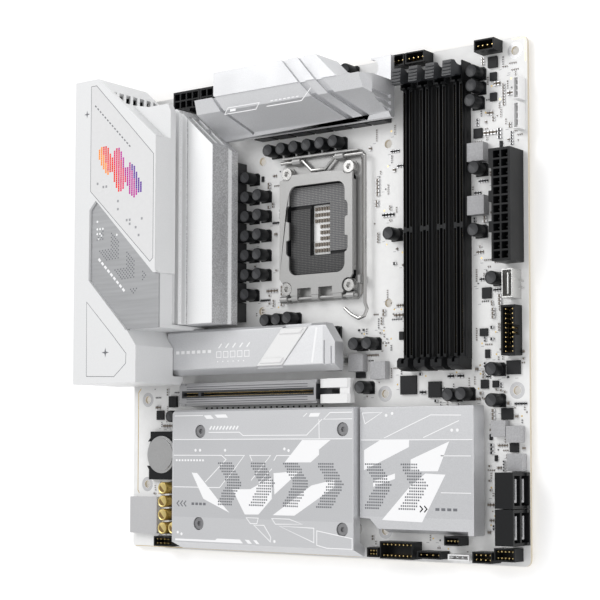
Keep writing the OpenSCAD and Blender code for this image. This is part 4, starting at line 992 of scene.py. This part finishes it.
def add_shroud_prints():
    """The shroud's prints and the painted shade round its panels stand barely proud of it, since
    its top is the top of the whole part.
    """
    z = span("io_light_panel")[1][2]
    low, top = z - 0.02, z + 0.01
    lines, squares = Shape(), Shape()
    tones = [Shape() for _ in SPECTRUM]
    draw_shroud_prints_and_edge_shade(lines, low, top)
    draw_spectrum(tones, low, top)
    draw_squares(squares, low, top)
    piece("shroud_prints_and_edge_shade", lines, [PRINT_STEEL])
    piece("shroud_squares", squares, [PRINT_GRAY])
    for number, shape in enumerate(tones):
        piece(f"spectrum_{number + 1}", shape, [SPECTRUM[number]])


def add_vent_shade_slats():
    """Dark slats between two rails, behind the vent slots of the slanted wall: painted shade for
    the hollow inside the shroud.
    """
    shade_slats = Shape()
    start, step, slat = Vector((18.2, 239.6)), Vector((1.15, -0.975)), Vector((1.0, -0.85))
    bottom, top, count = 12, 41, 12
    for i in range(count):
        shade_slats.stroke([start + step * i, start + step * i + slat], 0.5, bottom, top)
    for low in (bottom - 1.5, top):
        shade_slats.stroke([start + Vector((-1, 0.25)), start + Vector((14.6, -13))], 0.4, low, low + 1)
    # dark slats that stand for the shade inside the shroud
    piece("vent_painted_shade", shade_slats, [BLACK_PLASTIC])


def add_nameplate_prints():
    """Slanted rows of dots, dashes and round spots on the brushed nameplate."""
    low, high = span("io_brushed_panel")
    z = high[2]
    top = z + SKIN
    pale, dark = Shape(), Shape()
    slope = math.radians(-44)
    ahead = Vector((math.cos(slope), math.sin(slope)))
    across = Vector((-ahead.y, ahead.x))
    start = Vector((low[0] + 3.6, high[1] - 15.5))
    pitch, row_pitch, half = 1.4, 1.5, 0.36
    arrow_pitch, arrow_stroke, lean = 15, 8, 1.3
    for i in range(3, 32):
        for j in range(-4, 5):
            x, y = start + ahead * i * pitch + across * j * row_pitch
            if (i * pitch + abs(j) * lean) % arrow_pitch < arrow_stroke:
                dark.block([x - half, y - half, z], [x + half, y + half, top], PRINT_EDGE)
    for i in range(9):
        spot = start + ahead * (12 + i * 3) - across * 9.4
        pale.stroke([spot, spot + ahead * 2], 1.3, z, top)
    spots = ((0, 0), (0, -4), (2, -4), (4, -4), (0, -6.5), (2, -6.5), (3, -7.6), (1, -9),
             (14, -8), (33, -12), (36, -15), (33, -18), (39, -18))
    round_spots(pale, [(low[0] + 4.6 + x, high[1] - 11 + y) for x, y in spots], z,
                radius=0.62, sides=14)
    piece("nameplate_dark", dark, [PRINT_STEEL])
    piece("nameplate_pale", pale, [PRINT_WHITE])


add_plate_prints()
add_slot_marks()
add_drive_bar_prints()
add_top_heatsink_prints()
add_shroud_prints()
add_nameplate_prints()
add_vent_shade_slats()

# ---------------------------------------------------------------- stage

def make_camera():
    """A long lens, turned mostly about the board's Y axis, with a small upward shift."""
    turn = (Matrix.Rotation(math.radians(-0.107), 3, "Z")
            @ Matrix.Rotation(math.radians(-3.445), 3, "X")
            @ Matrix.Rotation(math.radians(-36.795), 3, "Y")).transposed()
    # where the board's centre lies in the camera's own axes
    centre_seen = Vector((6.82, 23.943, -777.292)) * MM
    data = bpy.data.cameras.new("camera")
    data.sensor_width = 36
    data.lens = 92.652
    data.shift_y = 0.1
    data.clip_start, data.clip_end = 0.05, 20
    camera = bpy.data.objects.new("camera", data)
    bpy.context.scene.collection.objects.link(camera)
    place = at(BOARD_MM / 2, BOARD_MM / 2) - turn @ centre_seen
    camera.matrix_world = Matrix.Translation(place) @ turn.to_4x4()
    bpy.context.scene.camera = camera


def make_light(name, place, size, power):
    """A soft rectangular lamp that faces the board's centre."""
    data = bpy.data.lights.new(name, "AREA")
    data.shape = "RECTANGLE"
    data.size, data.size_y = size
    data.energy = power
    light = bpy.data.objects.new(name, data)
    bpy.context.scene.collection.objects.link(light)
    light.location = place
    aim = at(BOARD_MM / 2, BOARD_MM / 2) - Vector(place)
    light.rotation_mode = "QUATERNION"
    light.rotation_quaternion = aim.to_track_quat("-Z", "Y")


def make_floor():
    """A wide sheet of pale paper under the part, which glows a little to stay white far off."""
    size, gap = 30.0, 0.0001
    low = cad_bounds[0][2] - gap
    corners = [(-size, -size, low), (size, -size, low), (size, size, low), (-size, size, low)]
    data = bpy.data.meshes.new("floor")
    data.from_pydata(corners, [], [(0, 1, 2, 3)])
    floor = bpy.data.objects.new("floor", data)
    bpy.context.scene.collection.objects.link(floor)
    paper = finish_of("floor_paper", (0.92, 0.92, 0.92), 0.9, grain=60, bump=0.02, depth=0.05,
                      tint=0.005, specular=0.2)
    shader = paper.node_tree.nodes["Principled BSDF"]
    shader.inputs["Emission Color"].default_value = (1, 1, 1, 1)
    shader.inputs["Emission Strength"].default_value = 0.22
    data.materials.append(paper)


def make_world():
    """A studio that is brighter overhead than at the horizon."""
    world = bpy.data.worlds.new("studio")
    bpy.context.scene.world = world
    world.use_nodes = True
    tree = world.node_tree
    background = tree.nodes["Background"]
    direction = tree.nodes.new("ShaderNodeTexCoord")
    split = tree.nodes.new("ShaderNodeSeparateXYZ")
    tree.links.new(direction.outputs["Generated"], split.inputs[0])
    sky = mix_colors(tree, remap(tree, split.outputs["Z"], 0, 1, 0.0, 0.9), (0.46, 0.46, 0.47),
                     (0.78, 0.78, 0.78))
    tree.links.new(sky, background.inputs["Color"])
    background.inputs["Strength"].default_value = 0.85


make_camera()
make_floor()
make_world()
make_light("key", (-0.5, 0.8, 1.2), (0.9, 0.9), 9.0)
make_light("fill", (1.0, -0.3, 0.7), (0.9, 0.9), 4.0)
make_light("rim", (-0.5, -0.9, 0.7), (0.8, 0.5), 1.5)
bpy.context.scene.view_settings.view_transform = "Standard"
